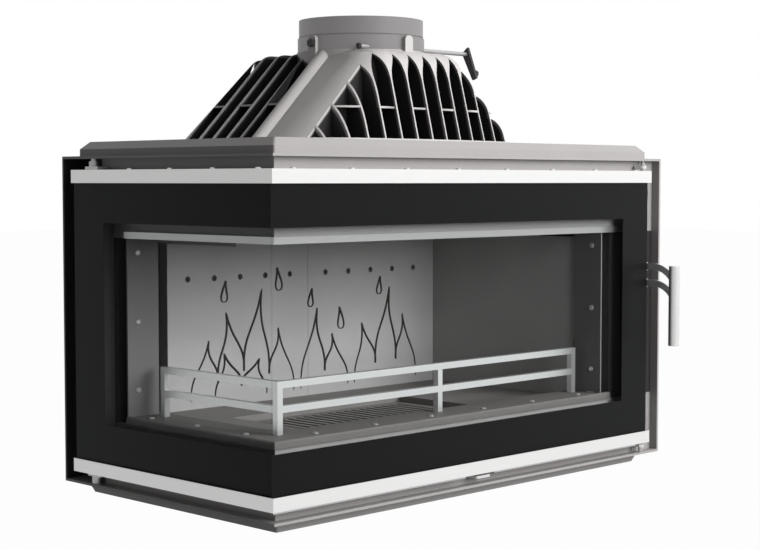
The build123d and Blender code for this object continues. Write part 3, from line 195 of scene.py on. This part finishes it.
class Finish:
    """A material under construction, with one way to add any node."""

    def __init__(self, name):
        self.material = bpy.data.materials.new(name)
        self.material.use_nodes = True
        self.tree = self.material.node_tree
        self.tree.nodes.clear()
        self.output = self.node("ShaderNodeOutputMaterial", {}, {})
        place = self.node("ShaderNodeTexCoord", {}, {})
        self.place = place.outputs["Object"]

    def node(self, kind, settings, values):
        """A node of one kind, its settings first and then what its sockets hold or link to."""
        node = self.tree.nodes.new(kind)
        for name, value in settings.items():
            setattr(node, name, value)
        for name, value in values.items():
            if isinstance(value, Level):
                value = value.socket
            if isinstance(value, bpy.types.NodeSocket):
                self.tree.links.new(value, node.inputs[name])
            else:
                node.inputs[name].default_value = value
        return node

    def stretched(self, scale):
        """The object's own coordinates, stretched by three factors."""
        node = self.node("ShaderNodeMapping", {}, {"Vector": self.place, "Scale": scale})
        return node.outputs["Vector"]

    def noise(self, scale, detail=3.0, roughness=0.55, vector=None):
        """Fractal noise between 0 and 1 as a number."""
        node = self.node(
            "ShaderNodeTexNoise", {},
            {"Vector": vector or self.place, "Scale": scale, "Detail": detail, "Roughness": roughness},
        )
        return Level(self.tree, node.outputs["Fac"])

    def between(self, share, first, second):
        """A colour that goes from the first to the second with a number; either may be a link."""
        node = self.node("ShaderNodeMix", {"data_type": "RGBA"}, {"Factor": share})
        for index, tone in ((MIX_FIRST, first), (MIX_SECOND, second)):
            if isinstance(tone, bpy.types.NodeSocket):
                self.tree.links.new(tone, node.inputs[index])
            else:
                node.inputs[index].default_value = full(tone)
        return node.outputs[MIX_RESULT]

    def toned(self, share, tone, darkest, lightest):
        """One colour that a number takes from its darkest shade to its lightest."""
        return self.between(share, shade(tone, darkest), shade(tone, lightest))

    def axes(self):
        """The object's own X, Y and Z as numbers."""
        node = self.node("ShaderNodeSeparateXYZ", {}, {"Vector": self.place})
        return [Level(self.tree, socket) for socket in node.outputs]

    def bump(self, height, strength, distance):
        """A bump that a number drives."""
        node = self.node(
            "ShaderNodeBump", {}, {"Height": height, "Strength": strength, "Distance": distance}
        )
        return node.outputs["Normal"]

    def close(self, shader):
        """Ends the material in one shader."""
        self.tree.links.new(shader, self.output.inputs["Surface"])
        return self.material

    def surface(self, values):
        """Ends the material in a Principled shader."""
        node = self.node("ShaderNodeBsdfPrincipled", {}, values)
        return self.close(node.outputs["BSDF"])

    def mixed(self, share, first, second):
        """Ends the material in two shaders: a number of 0 gives the first and 1 the second."""
        node = self.node("ShaderNodeMixShader", {}, {"Fac": share})
        self.tree.links.new(first.outputs[0], node.inputs[1])
        self.tree.links.new(second.outputs[0], node.inputs[2])
        return self.close(node.outputs[0])


# Finishes

def painted_sheet(name, tone, roughness=0.42):
    """Baked satin paint with a fine orange peel and faint cloudiness."""
    finish = Finish(name)
    cloud = finish.noise(scale=9.0)
    peel = finish.noise(scale=900.0, detail=2.0)
    return finish.surface({
        "Base Color": finish.toned(cloud, tone, darkest=0.90, lightest=1.08),
        "Roughness": cloud.about(roughness, spread=0.10),
        "Normal": finish.bump(peel, strength=0.04, distance=0.0002),
    })


# How dark the painted shade in a casting's recesses is, how deep in a recess it starts and over what depth it
# sets in
PAINTED_SHADE = 0.05
PAINTED_SHADE_START = 0.002
PAINTED_SHADE_RAMP = 0.004


def cast_surface(name, tone, roughness=0.50, recess=None):
    """Painted casting: sandy skin, soft cloudiness and, where a recess is given, painted shade that darkens
    it.
    """
    finish = Finish(name)
    cloud = finish.noise(scale=14.0, detail=4.0)
    sand = finish.noise(scale=520.0, detail=3.0)
    skin = finish.toned(cloud, tone, darkest=0.86, lightest=1.12)
    # Painted shade: the casting is made darker deeper in its recesses, where shade falls
    if recess:
        skin = finish.between(recess(finish), skin, shade(tone, PAINTED_SHADE))
    return finish.surface({
        "Base Color": skin,
        "Roughness": cloud.about(roughness, spread=0.14),
        "Metallic": 0.25,
        "Normal": finish.bump(sand, strength=0.22, distance=0.0004),
    })


# The dome's outer skin. A pair holds a size at the dome's foot and at its flat top, and two pairs
# hold it on the left and on the right.
DOME_RISE = 0.1435
SKIN_SIDE = ((0.2335, 0.0886), (0.2335, 0.1080))
SKIN_FRONT = (0.161, 0.125)
SKIN_REAR = (0.202, 0.175)
SKIN_BOW_RADIUS = 0.900
CORNER_RADIUS = ((0.100, 0.050), (0.030, 0.044))
CORNER_X = ((0.1335, 0.0386), (0.2035, 0.0640))
CORNER_Y = ((-0.0498, -0.0741), (-0.1069, -0.0786))
SHOULDER_RADIUS = 0.030


# Mask for the casting's painted shade: it grows darker deeper in the dome's slots
def dome_depth(finish):
    """How deep a point lies below the dome's outer skin: 0 on it, 1 from a few millimetres inwards.

    The skin is a bowed front, straight sides and rear that lean inwards, a round corner between front
    and side whose centre moves with height, and a rounded shoulder under the flat top.
    """
    x, y, z = finish.axes()
    rise = (z - DOME_FOOT_Z) * (1.0 / DOME_RISE)
    across = x.join("ABSOLUTE", x)
    on_right = x.join("GREATER_THAN", x, 0.0)

    def at_height(pair):
        """A size at the point's height, straight between foot and top."""
        return rise * (pair[1] - pair[0]) + pair[0]

    def on_side(pairs):
        """The value on the side of the dome, left or right, that the point lies on."""
        left, right = map(at_height, pairs)
        return left + (right - left) * on_right

    def rounded(first, second, radius):
        """Depth under two faces that a quarter circle joins."""
        p = first.join("MAXIMUM", radius - first, 0.0)
        q = first.join("MAXIMUM", radius - second, 0.0)
        return radius - first.join("SQRT", p * p + q * q)

    front = y + at_height(SKIN_FRONT) - x * x * (0.5 / SKIN_BOW_RADIUS)
    side = on_side(SKIN_SIDE) - across
    rear = at_height(SKIN_REAR) - y
    top = DOME_FOOT_Z + DOME_RISE - z
    past_x = across - on_side(CORNER_X)
    past_y = on_side(CORNER_Y) - y
    corner = on_side(CORNER_RADIUS) - x.join("SQRT", past_x * past_x + past_y * past_y)
    in_corner = x.join("GREATER_THAN", past_x, 0.0) * x.join("GREATER_THAN", past_y, 0.0)
    plan = corner * in_corner + x.join("MINIMUM", front, side) * (1.0 - in_corner)
    shoulder = rounded(front, top, SHOULDER_RADIUS)
    depth = x.join("MINIMUM", x.join("MINIMUM", plan, rear), x.join("MINIMUM", shoulder, top))
    return ((depth - PAINTED_SHADE_START) * (1.0 / PAINTED_SHADE_RAMP)).clamped()


# How far the streaks and the cloudiness of brushed steel spread its roughness
STREAK_SPREAD = 0.14
BRUSHED_CLOUD_SPREAD = 0.06


def brushed_metal(name, tone, stretch, roughness):
    """Steel brushed in one direction: fine streaks that vary its gloss."""
    finish = Finish(name)
    streak = finish.noise(scale=1.0, detail=4.0, vector=finish.stretched(stretch))
    cloud = finish.noise(scale=6.0)
    least = roughness - (STREAK_SPREAD + BRUSHED_CLOUD_SPREAD) / 2
    return finish.surface({
        "Base Color": finish.toned(streak, tone, darkest=0.90, lightest=1.06),
        "Metallic": 0.85,
        "Roughness": streak * STREAK_SPREAD + cloud * BRUSHED_CLOUD_SPREAD + least,
        "Normal": finish.bump(streak, strength=0.10, distance=0.0002),
    })


def lining_surface(name, tone):
    """Pressed lining plate: matt and cloudy, with a fine grain."""
    finish = Finish(name)
    cloud = finish.noise(scale=7.0, detail=5.0)
    grain = finish.noise(scale=420.0, detail=2.0)
    return finish.surface({
        "Base Color": finish.toned(cloud, tone, darkest=0.84, lightest=1.14),
        "Roughness": 0.62,
        "Normal": finish.bump(grain, strength=0.18, distance=0.0004),
    })


def enamel_surface(name, tone):
    """Black enamel behind the pane, with a faint fleck in its gloss."""
    finish = Finish(name)
    fleck = finish.noise(scale=35.0, detail=1.0)
    return finish.surface({
        "Base Color": full(tone),
        "Roughness": fleck.about(0.35, spread=0.06),
        "Specular IOR Level": 0.1,
    })


# What share of the light a pane mirrors head on, how much more at a grazing angle, and how late
# between the two the gloss sets in
HEAD_ON_GLOSS = 0.0005
GRAZING_GLOSS = 0.30
GLOSS_POWER = 6.0
PANE_TINT = (0.955, 0.965, 0.965)
WHITE = (1.0, 1.0, 1.0)


def pane_surface(name):
    """Clear ceramic glass: see-through, with a gloss that grows towards grazing angles."""
    finish = Finish(name)
    clear = finish.node("ShaderNodeBsdfTransparent", {}, {"Color": full(PANE_TINT)})
    ripple = finish.noise(scale=3.0, detail=1.0)
    wave = finish.bump(ripple, strength=0.02, distance=0.0005)
    gloss = finish.node(
        "ShaderNodeBsdfGlossy", {}, {"Color": full(WHITE), "Roughness": 0.02, "Normal": wave}
    )
    layer = finish.node("ShaderNodeLayerWeight", {}, {"Blend": 0.5})
    grazing = Level(finish.tree, layer.outputs["Facing"])
    share = grazing.join("POWER", grazing, GLOSS_POWER) * GRAZING_GLOSS + HEAD_ON_GLOSS
    return finish.mixed(share, clear, gloss)


def rope_surface(name, tone):
    """Woven rope: slanted strands from one diagonal wave."""
    finish = Finish(name)
    wave = finish.node(
        "ShaderNodeTexWave", {"wave_type": "BANDS", "bands_direction": "DIAGONAL"},
        {"Vector": finish.place, "Scale": 160.0, "Distortion": 1.5},
    )
    strand = Level(finish.tree, wave.outputs["Fac"])
    return finish.surface({
        "Base Color": finish.toned(strand, tone, darkest=0.5, lightest=1.8),
        "Roughness": 0.95,
        "Normal": finish.bump(strand, strength=0.6, distance=0.0008),
    })


# How brushing squeezes the streaks along X, Y and Z: level streaks and upright ones
BRUSHED_LEVEL = (12.0, 12.0, 1400.0)
BRUSHED_UPRIGHT = (900.0, 900.0, 10.0)


def make_finishes():
    """All finishes of the object, by name."""
    tones = bpy.context.scene.insert_colours
    return {
        "body_paint": painted_sheet("body_paint", tones.body_paint),
        "dark_paint": painted_sheet("dark_paint", tones.dark_paint, roughness=0.55),
        # The dome's casting gets painted shade in its slots
        "casting": cast_surface("casting", tones.casting, recess=dome_depth),
        "dark_casting": cast_surface("dark_casting", tones.dark_casting, roughness=0.62),
        "sill_casting": cast_surface("sill_casting", tones.sill_casting, roughness=0.62),
        "lining": lining_surface("lining", tones.lining),
        "post_paint": painted_sheet("post_paint", tones.post_paint, roughness=0.55),
        "trim_steel": brushed_metal("trim_steel", tones.trim_steel, BRUSHED_LEVEL, roughness=0.42),
        "bright_steel": brushed_metal("bright_steel", tones.bright_steel, BRUSHED_LEVEL, roughness=0.34),
        "collar_steel": brushed_metal("collar_steel", tones.collar_steel, BRUSHED_UPRIGHT, roughness=0.52),
        "plain_steel": brushed_metal("plain_steel", tones.plain_steel, BRUSHED_LEVEL, roughness=0.40),
        "enamel": enamel_surface("enamel", tones.enamel),
        "pane": pane_surface("pane"),
        "rope": rope_surface("rope", tones.rope),
    }


FINISH_OF_NODE = {
    "plinth_pan": "body_paint", "bottom_plate": "body_paint", "top_plate": "body_paint",
    "right_side_plate": "body_paint", "back_plate": "dark_paint", "top_tray": "body_paint",
    "frame_bottom": "body_paint", "frame_top": "body_paint", "frame_jambs": "dark_paint",
    "shell_back": "dark_paint", "shell_right": "dark_paint", "shell_left": "dark_paint",
    "hinge_shroud": "dark_paint", "hearth_plate": "dark_casting", "door_sill": "sill_casting",
    "lintel": "plain_steel", "post_plates": "post_paint", "back_lining": "lining",
    "right_lining": "lining", "baffle_plate": "lining", "smoke_deflector": "dark_paint",
    "deflector_hangers": "dark_paint", "air_box": "dark_paint", "ash_pan": "plain_steel",
    "shutter_guides": "plain_steel", "latch_keepers": "plain_steel", "hinge_pins": "plain_steel",
    "hinge_washer": "plain_steel", "plate_screws": "plain_steel", "dome": "casting",
    "flue_collar": "collar_steel", "collar_bolts": "dark_paint", "grate": "dark_casting",
    "retainer_top_rail": "bright_steel", "retainer_posts": "bright_steel",
    "retainer_mid_rail": "bright_steel", "air_shutter": "plain_steel", "air_lever": "bright_steel",
    "damper_rod": "plain_steel", "damper_flap": "plain_steel", "damper_crank": "dark_paint",
    "damper_bolt": "dark_paint", "top_trim": "trim_steel", "bottom_trim": "trim_steel",
    "front_glass": "pane", "side_glass": "pane", "door_top_rail": "dark_paint",
    "door_bottom_rail": "dark_paint", "door_right_stile": "dark_paint",
    "door_rear_stile": "dark_paint", "door_seal": "rope", "glass_clips": "plain_steel",
    "bottom_lip": "plain_steel", "trim_screws": "bright_steel", "spindle_brackets": "dark_paint",
    "hinge_leaves": "plain_steel", "handle_spindle": "plain_steel", "handle_arms": "bright_steel",
    "handle_bar": "bright_steel", "latch_hooks": "bright_steel",
}
# Filled by the first operator, once the colours can be read
FINISHES = {}


# Surfaces worked out as whole arrays

def mesh_from_grid(name, points, tube=False):
    """A mesh from a grid of points with a quad between each four neighbours.

    A tube also joins its last column to its first and has a flat cap at its first and its last row.
    """
    rows, columns = points.shape[:2]
    last_column = columns if tube else columns - 1
    i, j = np.meshgrid(np.arange(rows - 1), np.arange(last_column), indexing="ij")
    here = i * columns
    below = here + columns
    beside = (j + 1) % columns
    quads = np.stack([here + j, here + beside, below + beside, below + j], axis=-1)
    faces = quads.reshape(-1, 4).tolist()
    if tube:
        faces.append(np.arange(columns)[::-1].tolist())
        faces.append(((rows - 1) * columns + np.arange(columns)).tolist())
    mesh = bpy.data.meshes.new(name)
    mesh.from_pydata(points.reshape(-1, 3).tolist(), [], faces)
    mesh.validate()
    mesh.update()
    return mesh


def add_piece(name, mesh, finish, body, smooth=True):
    """Links a finished mesh as one piece that rides on a body."""
    piece = bpy.data.objects.new(name, mesh)
    bpy.context.scene.collection.objects.link(piece)
    mesh.materials.append(FINISHES[finish])
    mesh.polygons.foreach_set("use_smooth", np.full(len(mesh.polygons), smooth))
    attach(piece, body)
    return piece


def join_meshes(name, parts):
    """One mesh from several, with shared places kept apart."""
    vertices, faces, start = [], [], 0
    for part in parts:
        places = np.empty(len(part.vertices) * 3)
        part.vertices.foreach_get("co", places)
        vertices.extend(places.reshape(-1, 3).tolist())
        faces.extend([[start + index for index in polygon.vertices] for polygon in part.polygons])
        start += len(part.vertices)
        bpy.data.meshes.remove(part)
    mesh = bpy.data.meshes.new(name)
    mesh.from_pydata(vertices, [], faces)
    mesh.update()
    return mesh


def add_modifier(piece, kind, **settings):
    """A modifier with its settings."""
    modifier = piece.modifiers.new(kind.lower(), kind)
    for name, value in settings.items():
        setattr(modifier, name, value)
    return modifier


# Operators, one for each piece or group

class FrameFinishes(bpy.types.Operator):
    """Gives every carried piece of the frame its finish"""

    bl_idname = "insert.frame_finishes"
    bl_label = "Finish the frame"

    def execute(self, context):
        FINISHES.update(make_finishes())
        for node, finish in FINISH_OF_NODE.items():
            for slot in NODES[node].material_slots:
                slot.material = FINISHES[finish]
        return {"FINISHED"}


# How deep the enamel lies in the pane, and how far the window's right edge is moved out
ENAMEL_SINK = 0.0004
PANE_SETBACK = 0.004


class EnamelBorder(bpy.types.Operator):
    """Black enamel round the window, just inside the inner faces of both panes"""

    bl_idname = "insert.enamel_border"
    bl_label = "Enamel border"

    def execute(self, context):
        sizes = context.scene.insert_sizes
        window_low = DOOR_LOW_EDGE + TRIM_BAND + sizes.border_bottom
        window_high = DOOR_HIGH_EDGE - TRIM_BAND - sizes.border_top
        front_end = FRONT_PANE_HIGH.x - ENAMEL_SINK
        side_end = SIDE_PANE_HIGH.y - ENAMEL_SINK
        front_window_end = front_end - sizes.border_right + PANE_SETBACK
        side_window_end = side_end - sizes.border_rear
        front = self.bands(
            SIDE_PANE_LOW.x + ENAMEL_SINK, front_end, front_window_end, window_low, window_high
        )
        side = self.bands(
            SIDE_PANE_LOW.y + ENAMEL_SINK, side_end, side_window_end, window_low, window_high
        )
        front_face = np.full(front.shape[:2], FRONT_PANE_HIGH.y - ENAMEL_SINK)
        side_face = np.full(side.shape[:2], SIDE_PANE_HIGH.x - ENAMEL_SINK)
        borders = {
            "enamel_front": np.stack([front[..., 0], front_face, front[..., 1]], axis=-1),
            "enamel_side": np.stack([side_face, side[..., 0], side[..., 1]], axis=-1),
        }
        for name, points in borders.items():
            piece = add_piece(name, mesh_from_grid(name, points), "enamel", "door", smooth=False)
            add_modifier(piece, "SOLIDIFY", thickness=sizes.border_sheet, offset=0.0)
        return {"FINISHED"}

    @staticmethod
    def bands(start, end, window_end, window_low, window_high):
        """Rows of points from the window's outline to the pane's: a C that is open at the glass corner."""
        low = FRONT_PANE_LOW.z + ENAMEL_SINK
        high = FRONT_PANE_HIGH.z - ENAMEL_SINK
        inner = np.array([
            (start, window_high), (window_end, window_high), (window_end, window_low), (start, window_low)
        ])
        outer = np.array([(start, high), (end, high), (end, low), (start, low)])
        return np.stack([inner, outer])


# The ornament keeps this far from the lining's sides and foot
FLAME_MARGIN = 0.030
FLAME_FOOT = 0.012
FLAME_STEPS = 40

# Each running line: its start and width as shares of the ornament's width, and its tips, each with
# its lean as a share of one flame's width and its height as a share of the tallest flame's
FLAME_GROUPS = (
    (0.03, 0.40, ((0.16, 0.55), (-0.18, 0.80), (0.20, 1.00), (-0.14, 0.62))),
    (0.12, 0.20, ((-0.16, 0.42), (0.20, 0.34))),
    (0.46, 0.20, ((0.18, 0.78), (-0.20, 0.52))),
    (0.69, 0.28, ((-0.16, 0.60), (0.18, 0.94), (-0.18, 0.66))),
)
# Each loose drop: its place as a share of the width, then its foot and height as shares of the
# tallest flame, and its lean as a share of its own height
LOOSE_FLAMES = (
    (0.155, 0.90, 0.20, 0.10), (0.37, 0.98, 0.22, -0.12), (0.50, 0.80, 0.18, 0.12),
    (0.63, 0.56, 0.22, -0.10), (0.80, 0.88, 0.18, 0.10),
)
# A valley lies at this share of the lower tip beside it
VALLEY_RISE = 0.30
# Handles of a flank: how far aside in half flames, how far against the lean, and how high
BELLY_ASIDE = 0.10
BELLY_RISE = 0.48
NECK_ASIDE = 0.12
NECK_BACK = 2.2
NECK_RISE = 0.46
# A drop's half width as a share of its height, and the powers that shape its belly, point and bend
DROP_WIDTH = 0.20
DROP_BELLY = 0.50
DROP_POINT = 0.3
DROP_BEND = 2.5
# A raised line: points over its half round, its size at the ends, how soon it is full and its sink
LINE_SIDES = 7
LINE_END = 0.35
LINE_FULLNESS = 0.25
LINE_SINK = 0.0002
SMALLEST_STEP = 1e-9


class FlameOrnament(bpy.types.Operator):
    """Raised flame outlines on the back lining, in a layout of their own"""

    bl_idname = "insert.flame_ornament"
    bl_label = "Flame ornament"

    def execute(self, context):
        sizes = context.scene.insert_sizes
        left = LINING_LOW.x + FLAME_MARGIN
        width = LINING_HIGH.x - FLAME_MARGIN - left
        foot = LINING_LOW.z + FLAME_FOOT
        tallest = sizes.flame_height
        lines = [
            self.running_line(
                f"flame_line_{k}", left + start * width, width * share, foot, tallest, tips,
                sizes.flame_line,
            )
            for k, (start, share, tips) in enumerate(FLAME_GROUPS)
        ]
        lines += [
            self.loose_tongue(
                f"flame_tongue_{k}", left + at * width, foot + rise * tallest, tallest * size, lean,
                sizes.flame_line,
            )
            for k, (at, rise, size, lean) in enumerate(LOOSE_FLAMES)
        ]
        mesh = join_meshes("flame_ornament", lines)
        add_piece("flame_ornament", mesh, "dark_paint", "carcass")
        return {"FINISHED"}

    @staticmethod
    def running_line(name, left, width, foot, height, tips, radius):
        """One line that rises to a leaning tip and falls to a valley, once for each tip.

        Each flank is a cubic curve. One handle stands almost upright over the valley and the other
        hangs under the tip, moved against its lean. Both flanks of a tip bend the same way, so that
        it ends in a bent point.
        """
        tips = np.array(tips)
        t = np.linspace(0.0, 1.0, FLAME_STEPS)[:, None]
        weights = ((1.0 - t) ** 3, 3.0 * t * (1.0 - t) ** 2, 3.0 * t ** 2 * (1.0 - t), t ** 3)
        valley_x = np.linspace(0.0, 1.0, len(tips) + 1)
        valley_z = np.concatenate([[0.0], np.minimum(tips[:-1, 1], tips[1:, 1]) * VALLEY_RISE, [0.0]])
        half = 0.5 / len(tips)
        tip_x = valley_x[:-1] + half + tips[:, 0] * half * 2.0
        flanks = []
        for k, (sway, top) in enumerate(tips):
            for end, side in ((k, -1.0), (k + 1, 1.0)):
                foot_x = valley_x[end]
                foot_z = valley_z[end]
                rise = top - foot_z
                belly = foot_x + side * half * BELLY_ASIDE
                neck = tip_x[k] - sway * half * NECK_BACK + side * half * NECK_ASIDE
                points = np.array([
                    (foot_x, foot_z), (belly, foot_z + rise * BELLY_RISE),
                    (neck, foot_z + rise * NECK_RISE), (tip_x[k], top),
                ])
                flank = sum(weight * point for weight, point in zip(weights, points))
                flanks.append(flank if side < 0.0 else flank[::-1])
        line = np.concatenate([flanks[0]] + [flank[1:] for flank in flanks[1:]])
        places = np.stack([left + line[:, 0] * width, foot + line[:, 1] * height], axis=-1)
        return raised_line(name, places, radius)

    @staticmethod
    def loose_tongue(name, centre, foot, height, lean, radius):
        """A closed drop: its half width is a skewed sine of height and its tip leans over."""
        t = np.linspace(0.0, 1.0, FLAME_STEPS * 2)
        h = 1.0 - np.abs(2.0 * t - 1.0)
        side = np.where(t < 0.5, -1.0, 1.0)
        half = height * DROP_WIDTH * np.sin(math.pi * h ** DROP_BELLY) * (1.0 - h) ** DROP_POINT
        middle = height * lean * h ** DROP_BEND
        places = np.stack([centre + middle + side * half, foot + height * h], axis=-1)
        return raised_line(name, places, radius)


def raised_line(name, places, radius):
    """A half-round line on the lining's face along places given as X and Z, thinner at its ends."""
    step = np.gradient(places, axis=0)
    size = np.maximum(np.hypot(step[:, 0], step[:, 1]), SMALLEST_STEP)
    across = np.stack([step[:, 1] / size, -step[:, 0] / size], axis=-1)
    angle = np.linspace(0.0, math.pi, LINE_SIDES)
    along = np.linspace(0.0, 1.0, len(places))
    swell = np.clip(np.sin(math.pi * along), 0.0, 1.0) ** LINE_FULLNESS
    taper = (radius * (LINE_END + (1.0 - LINE_END) * swell))[:, None]
    out = np.cos(angle)[None, :] * taper
    lift = np.sin(angle)[None, :] * taper
    x = places[:, :1] + across[:, :1] * out
    y = LINING_LOW.y + LINE_SINK - lift
    z = places[:, 1:] + across[:, 1:] * out
    return mesh_from_grid(name, np.stack([x, y, z], axis=-1), tube=True)


# Vertices of the dome this close are one, faces this level are one, and edges past this angle are rounded
WELD_DISTANCE = 0.00002
FLAT_ANGLE = math.radians(1.0)
SHARP_ANGLE = math.radians(35)


class CastDome(bpy.types.Operator):
    """The finned dome with rounded cast edges"""

    bl_idname = "insert.cast_dome"
    bl_label = "Cast dome"

    def execute(self, context):
        sizes = context.scene.insert_sizes
        mesh = NODES["dome"].data.copy()
        mesh.name = "cast_dome"
        mesh.materials.clear()
        weld(mesh)
        piece = add_piece("cast_dome", mesh, "casting", "carcass")
        add_modifier(
            piece, "BEVEL", width=sizes.casting_edge, segments=2, limit_method="ANGLE",
            angle_limit=SHARP_ANGLE, use_clamp_overlap=True, harden_normals=False,
        )
        add_modifier(piece, "WEIGHTED_NORMAL", keep_sharp=False)
        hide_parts("dome")
        return {"FINISHED"}


def weld(mesh):
    """Joins doubled vertices and melts flat triangles into whole faces."""
    shape = bmesh.new()
    shape.from_mesh(mesh)
    bmesh.ops.remove_doubles(shape, verts=shape.verts, dist=WELD_DISTANCE)
    bmesh.ops.dissolve_limit(
        shape, angle_limit=FLAT_ANGLE, verts=shape.verts, edges=shape.edges, delimit={"NORMAL"}
    )
    shape.to_mesh(mesh)
    shape.free()


FLOOR_HALF = 12.0
FLOOR_DROP = -0.0004
FLOOR_TONE = (0.14, 0.14, 0.14)
# How much of what the camera sees is the floor's own light, and how bright that is in reflections
FLOOR_GLOW = 0.98
FLOOR_MIRRORED = 0.75
# The world's light in reflections, how it fades towards the left, and how the even light does
GLOSSY_SHARE = 0.80
GLOSSY_FADE = 0.30
LIGHT_FADE = 1.0
# Name, place, target, width, height and power of each lamp
LAMPS = (
    ("key_lamp", (0.3, -3.3, 1.1), (0.0, 0.0, 0.3), 2.2, 1.4, 150.0),
    ("top_lamp", (1.6, -3.2, 2.7), (0.0, 0.0, 0.4), 2.0, 2.0, 210.0),
)
SENSOR_WIDTH = 36.0
VIEW_REACH = 100.0


class Studio(bpy.types.Operator):
    """Floor, world light, lamps and the camera"""

    bl_idname = "insert.studio"
    bl_label = "Studio"

    def execute(self, context):
        settings = context.scene.insert_stage
        self.floor()
        self.world(settings)
        for lamp in LAMPS:
            self.lamp(*lamp)
        self.camera(settings)
        context.scene.view_settings.view_transform = "Standard"
        return {"FINISHED"}

    @staticmethod
    def floor():
        """A wide floor, white to the camera and in reflections, whose own light hides the shadow."""
        ends = (-FLOOR_HALF, FLOOR_HALF)
        corners = np.array([[(x, y, FLOOR_DROP) for y in ends] for x in ends])
        mesh = mesh_from_grid("floor", corners)
        floor = bpy.data.objects.new("floor", mesh)
        bpy.context.scene.collection.objects.link(floor)
        finish = Finish("floor_white")
        path = finish.node("ShaderNodeLightPath", {}, {})
        plain = finish.node("ShaderNodeBsdfDiffuse", {}, {"Color": full(FLOOR_TONE)})
        seen = Level(finish.tree, path.outputs["Is Camera Ray"])
        mirrored = Level(finish.tree, path.outputs["Is Glossy Ray"])
        strength = seen + mirrored * FLOOR_MIRRORED
        glow = finish.node("ShaderNodeEmission", {}, {"Color": full(WHITE), "Strength": strength})
        mesh.materials.append(finish.mixed(seen * FLOOR_GLOW + mirrored, plain, glow))

    @staticmethod
    def world(settings):
        """White to the eye; on the object a light that fades towards the left."""
        world = bpy.data.worlds.new("studio_world")
        bpy.context.scene.world = world
        world.use_nodes = True
        tree = world.node_tree
        tree.nodes.clear()
        path = tree.nodes.new("ShaderNodeLightPath")
        background = tree.nodes.new("ShaderNodeBackground")
        background.inputs["Color"].default_value = full(WHITE)
        output = tree.nodes.new("ShaderNodeOutputWorld")
        seen = Level(tree, path.outputs["Is Camera Ray"])
        seen = (seen + Level(tree, path.outputs["Is Transmission Ray"])).clamped()
        place = tree.nodes.new("ShaderNodeTexCoord")
        split = tree.nodes.new("ShaderNodeSeparateXYZ")
        tree.links.new(place.outputs["Generated"], split.inputs[0])
        across = Level(tree, split.outputs["X"])
        shiny = Level(tree, path.outputs["Is Glossy Ray"]) * (across * GLOSSY_FADE + GLOSSY_SHARE)
        even = across * (settings.world_light * LIGHT_FADE) + settings.world_light
        strength = seen.join("MAXIMUM", seen, seen.join("MAXIMUM", shiny, even))
        tree.links.new(strength.socket, background.inputs["Strength"])
        tree.links.new(background.outputs[0], output.inputs["Surface"])

    @staticmethod
    def lamp(name, place, target, width, height, power):
        """A soft rectangular lamp that faces a point and shows in no reflection."""
        light = bpy.data.lights.new(name, "AREA")
        light.shape = "RECTANGLE"
        light.size = width
        light.size_y = height
        light.energy = power
        lamp = bpy.data.objects.new(name, light)
        lamp.location = place
        direction = Vector(target) - Vector(place)
        lamp.rotation_euler = direction.to_track_quat("-Z", "Y").to_euler()
        lamp.visible_glossy = False
        bpy.context.scene.collection.objects.link(lamp)

    @staticmethod
    def camera(settings):
        """The photograph's view: no shift and no depth of field."""
        data = bpy.data.cameras.new("camera")
        data.lens = settings.lens
        data.sensor_width = SENSOR_WIDTH
        data.clip_end = VIEW_REACH
        camera = bpy.data.objects.new("camera", data)
        camera.location = settings.camera_place
        camera.rotation_euler = (math.pi / 2 - settings.camera_dip, 0.0, -settings.camera_heading)
        bpy.context.scene.collection.objects.link(camera)
        bpy.context.scene.camera = camera


class InsertPanel(bpy.types.Panel):
    """Lists the steps in the 3D view's sidebar."""

    bl_idname = "VIEW3D_PT_insert"
    bl_label = "Corner insert"
    bl_space_type = "VIEW_3D"
    bl_region_type = "UI"
    bl_category = "Insert"

    def draw(self, context):
        for step in STEPS:
            self.layout.operator(step.bl_idname)


GROUPS = (InsertSizes, InsertColours, StageSettings)
STEPS = (FrameFinishes, EnamelBorder, FlameOrnament, CastDome, Studio)


def register():
    """Registers every class and hangs the settings on the scene."""
    for group in (*GROUPS, *STEPS, InsertPanel):
        bpy.utils.register_class(group)
    bpy.types.Scene.insert_sizes = PointerProperty(type=InsertSizes)
    bpy.types.Scene.insert_colours = PointerProperty(type=InsertColours)
    bpy.types.Scene.insert_stage = PointerProperty(type=StageSettings)


def unregister():
    """Takes the settings off the scene and the classes out again."""
    del bpy.types.Scene.insert_sizes
    del bpy.types.Scene.insert_colours
    del bpy.types.Scene.insert_stage
    for group in reversed((*GROUPS, *STEPS, InsertPanel)):
        bpy.utils.unregister_class(group)


def main():
    """Makes every piece in order."""
    register()
    bpy.ops.insert.frame_finishes()
    bpy.ops.insert.enamel_border()
    bpy.ops.insert.flame_ornament()
    bpy.ops.insert.cast_dome()
    bpy.ops.insert.studio()


if __name__ == "__main__":
    main()
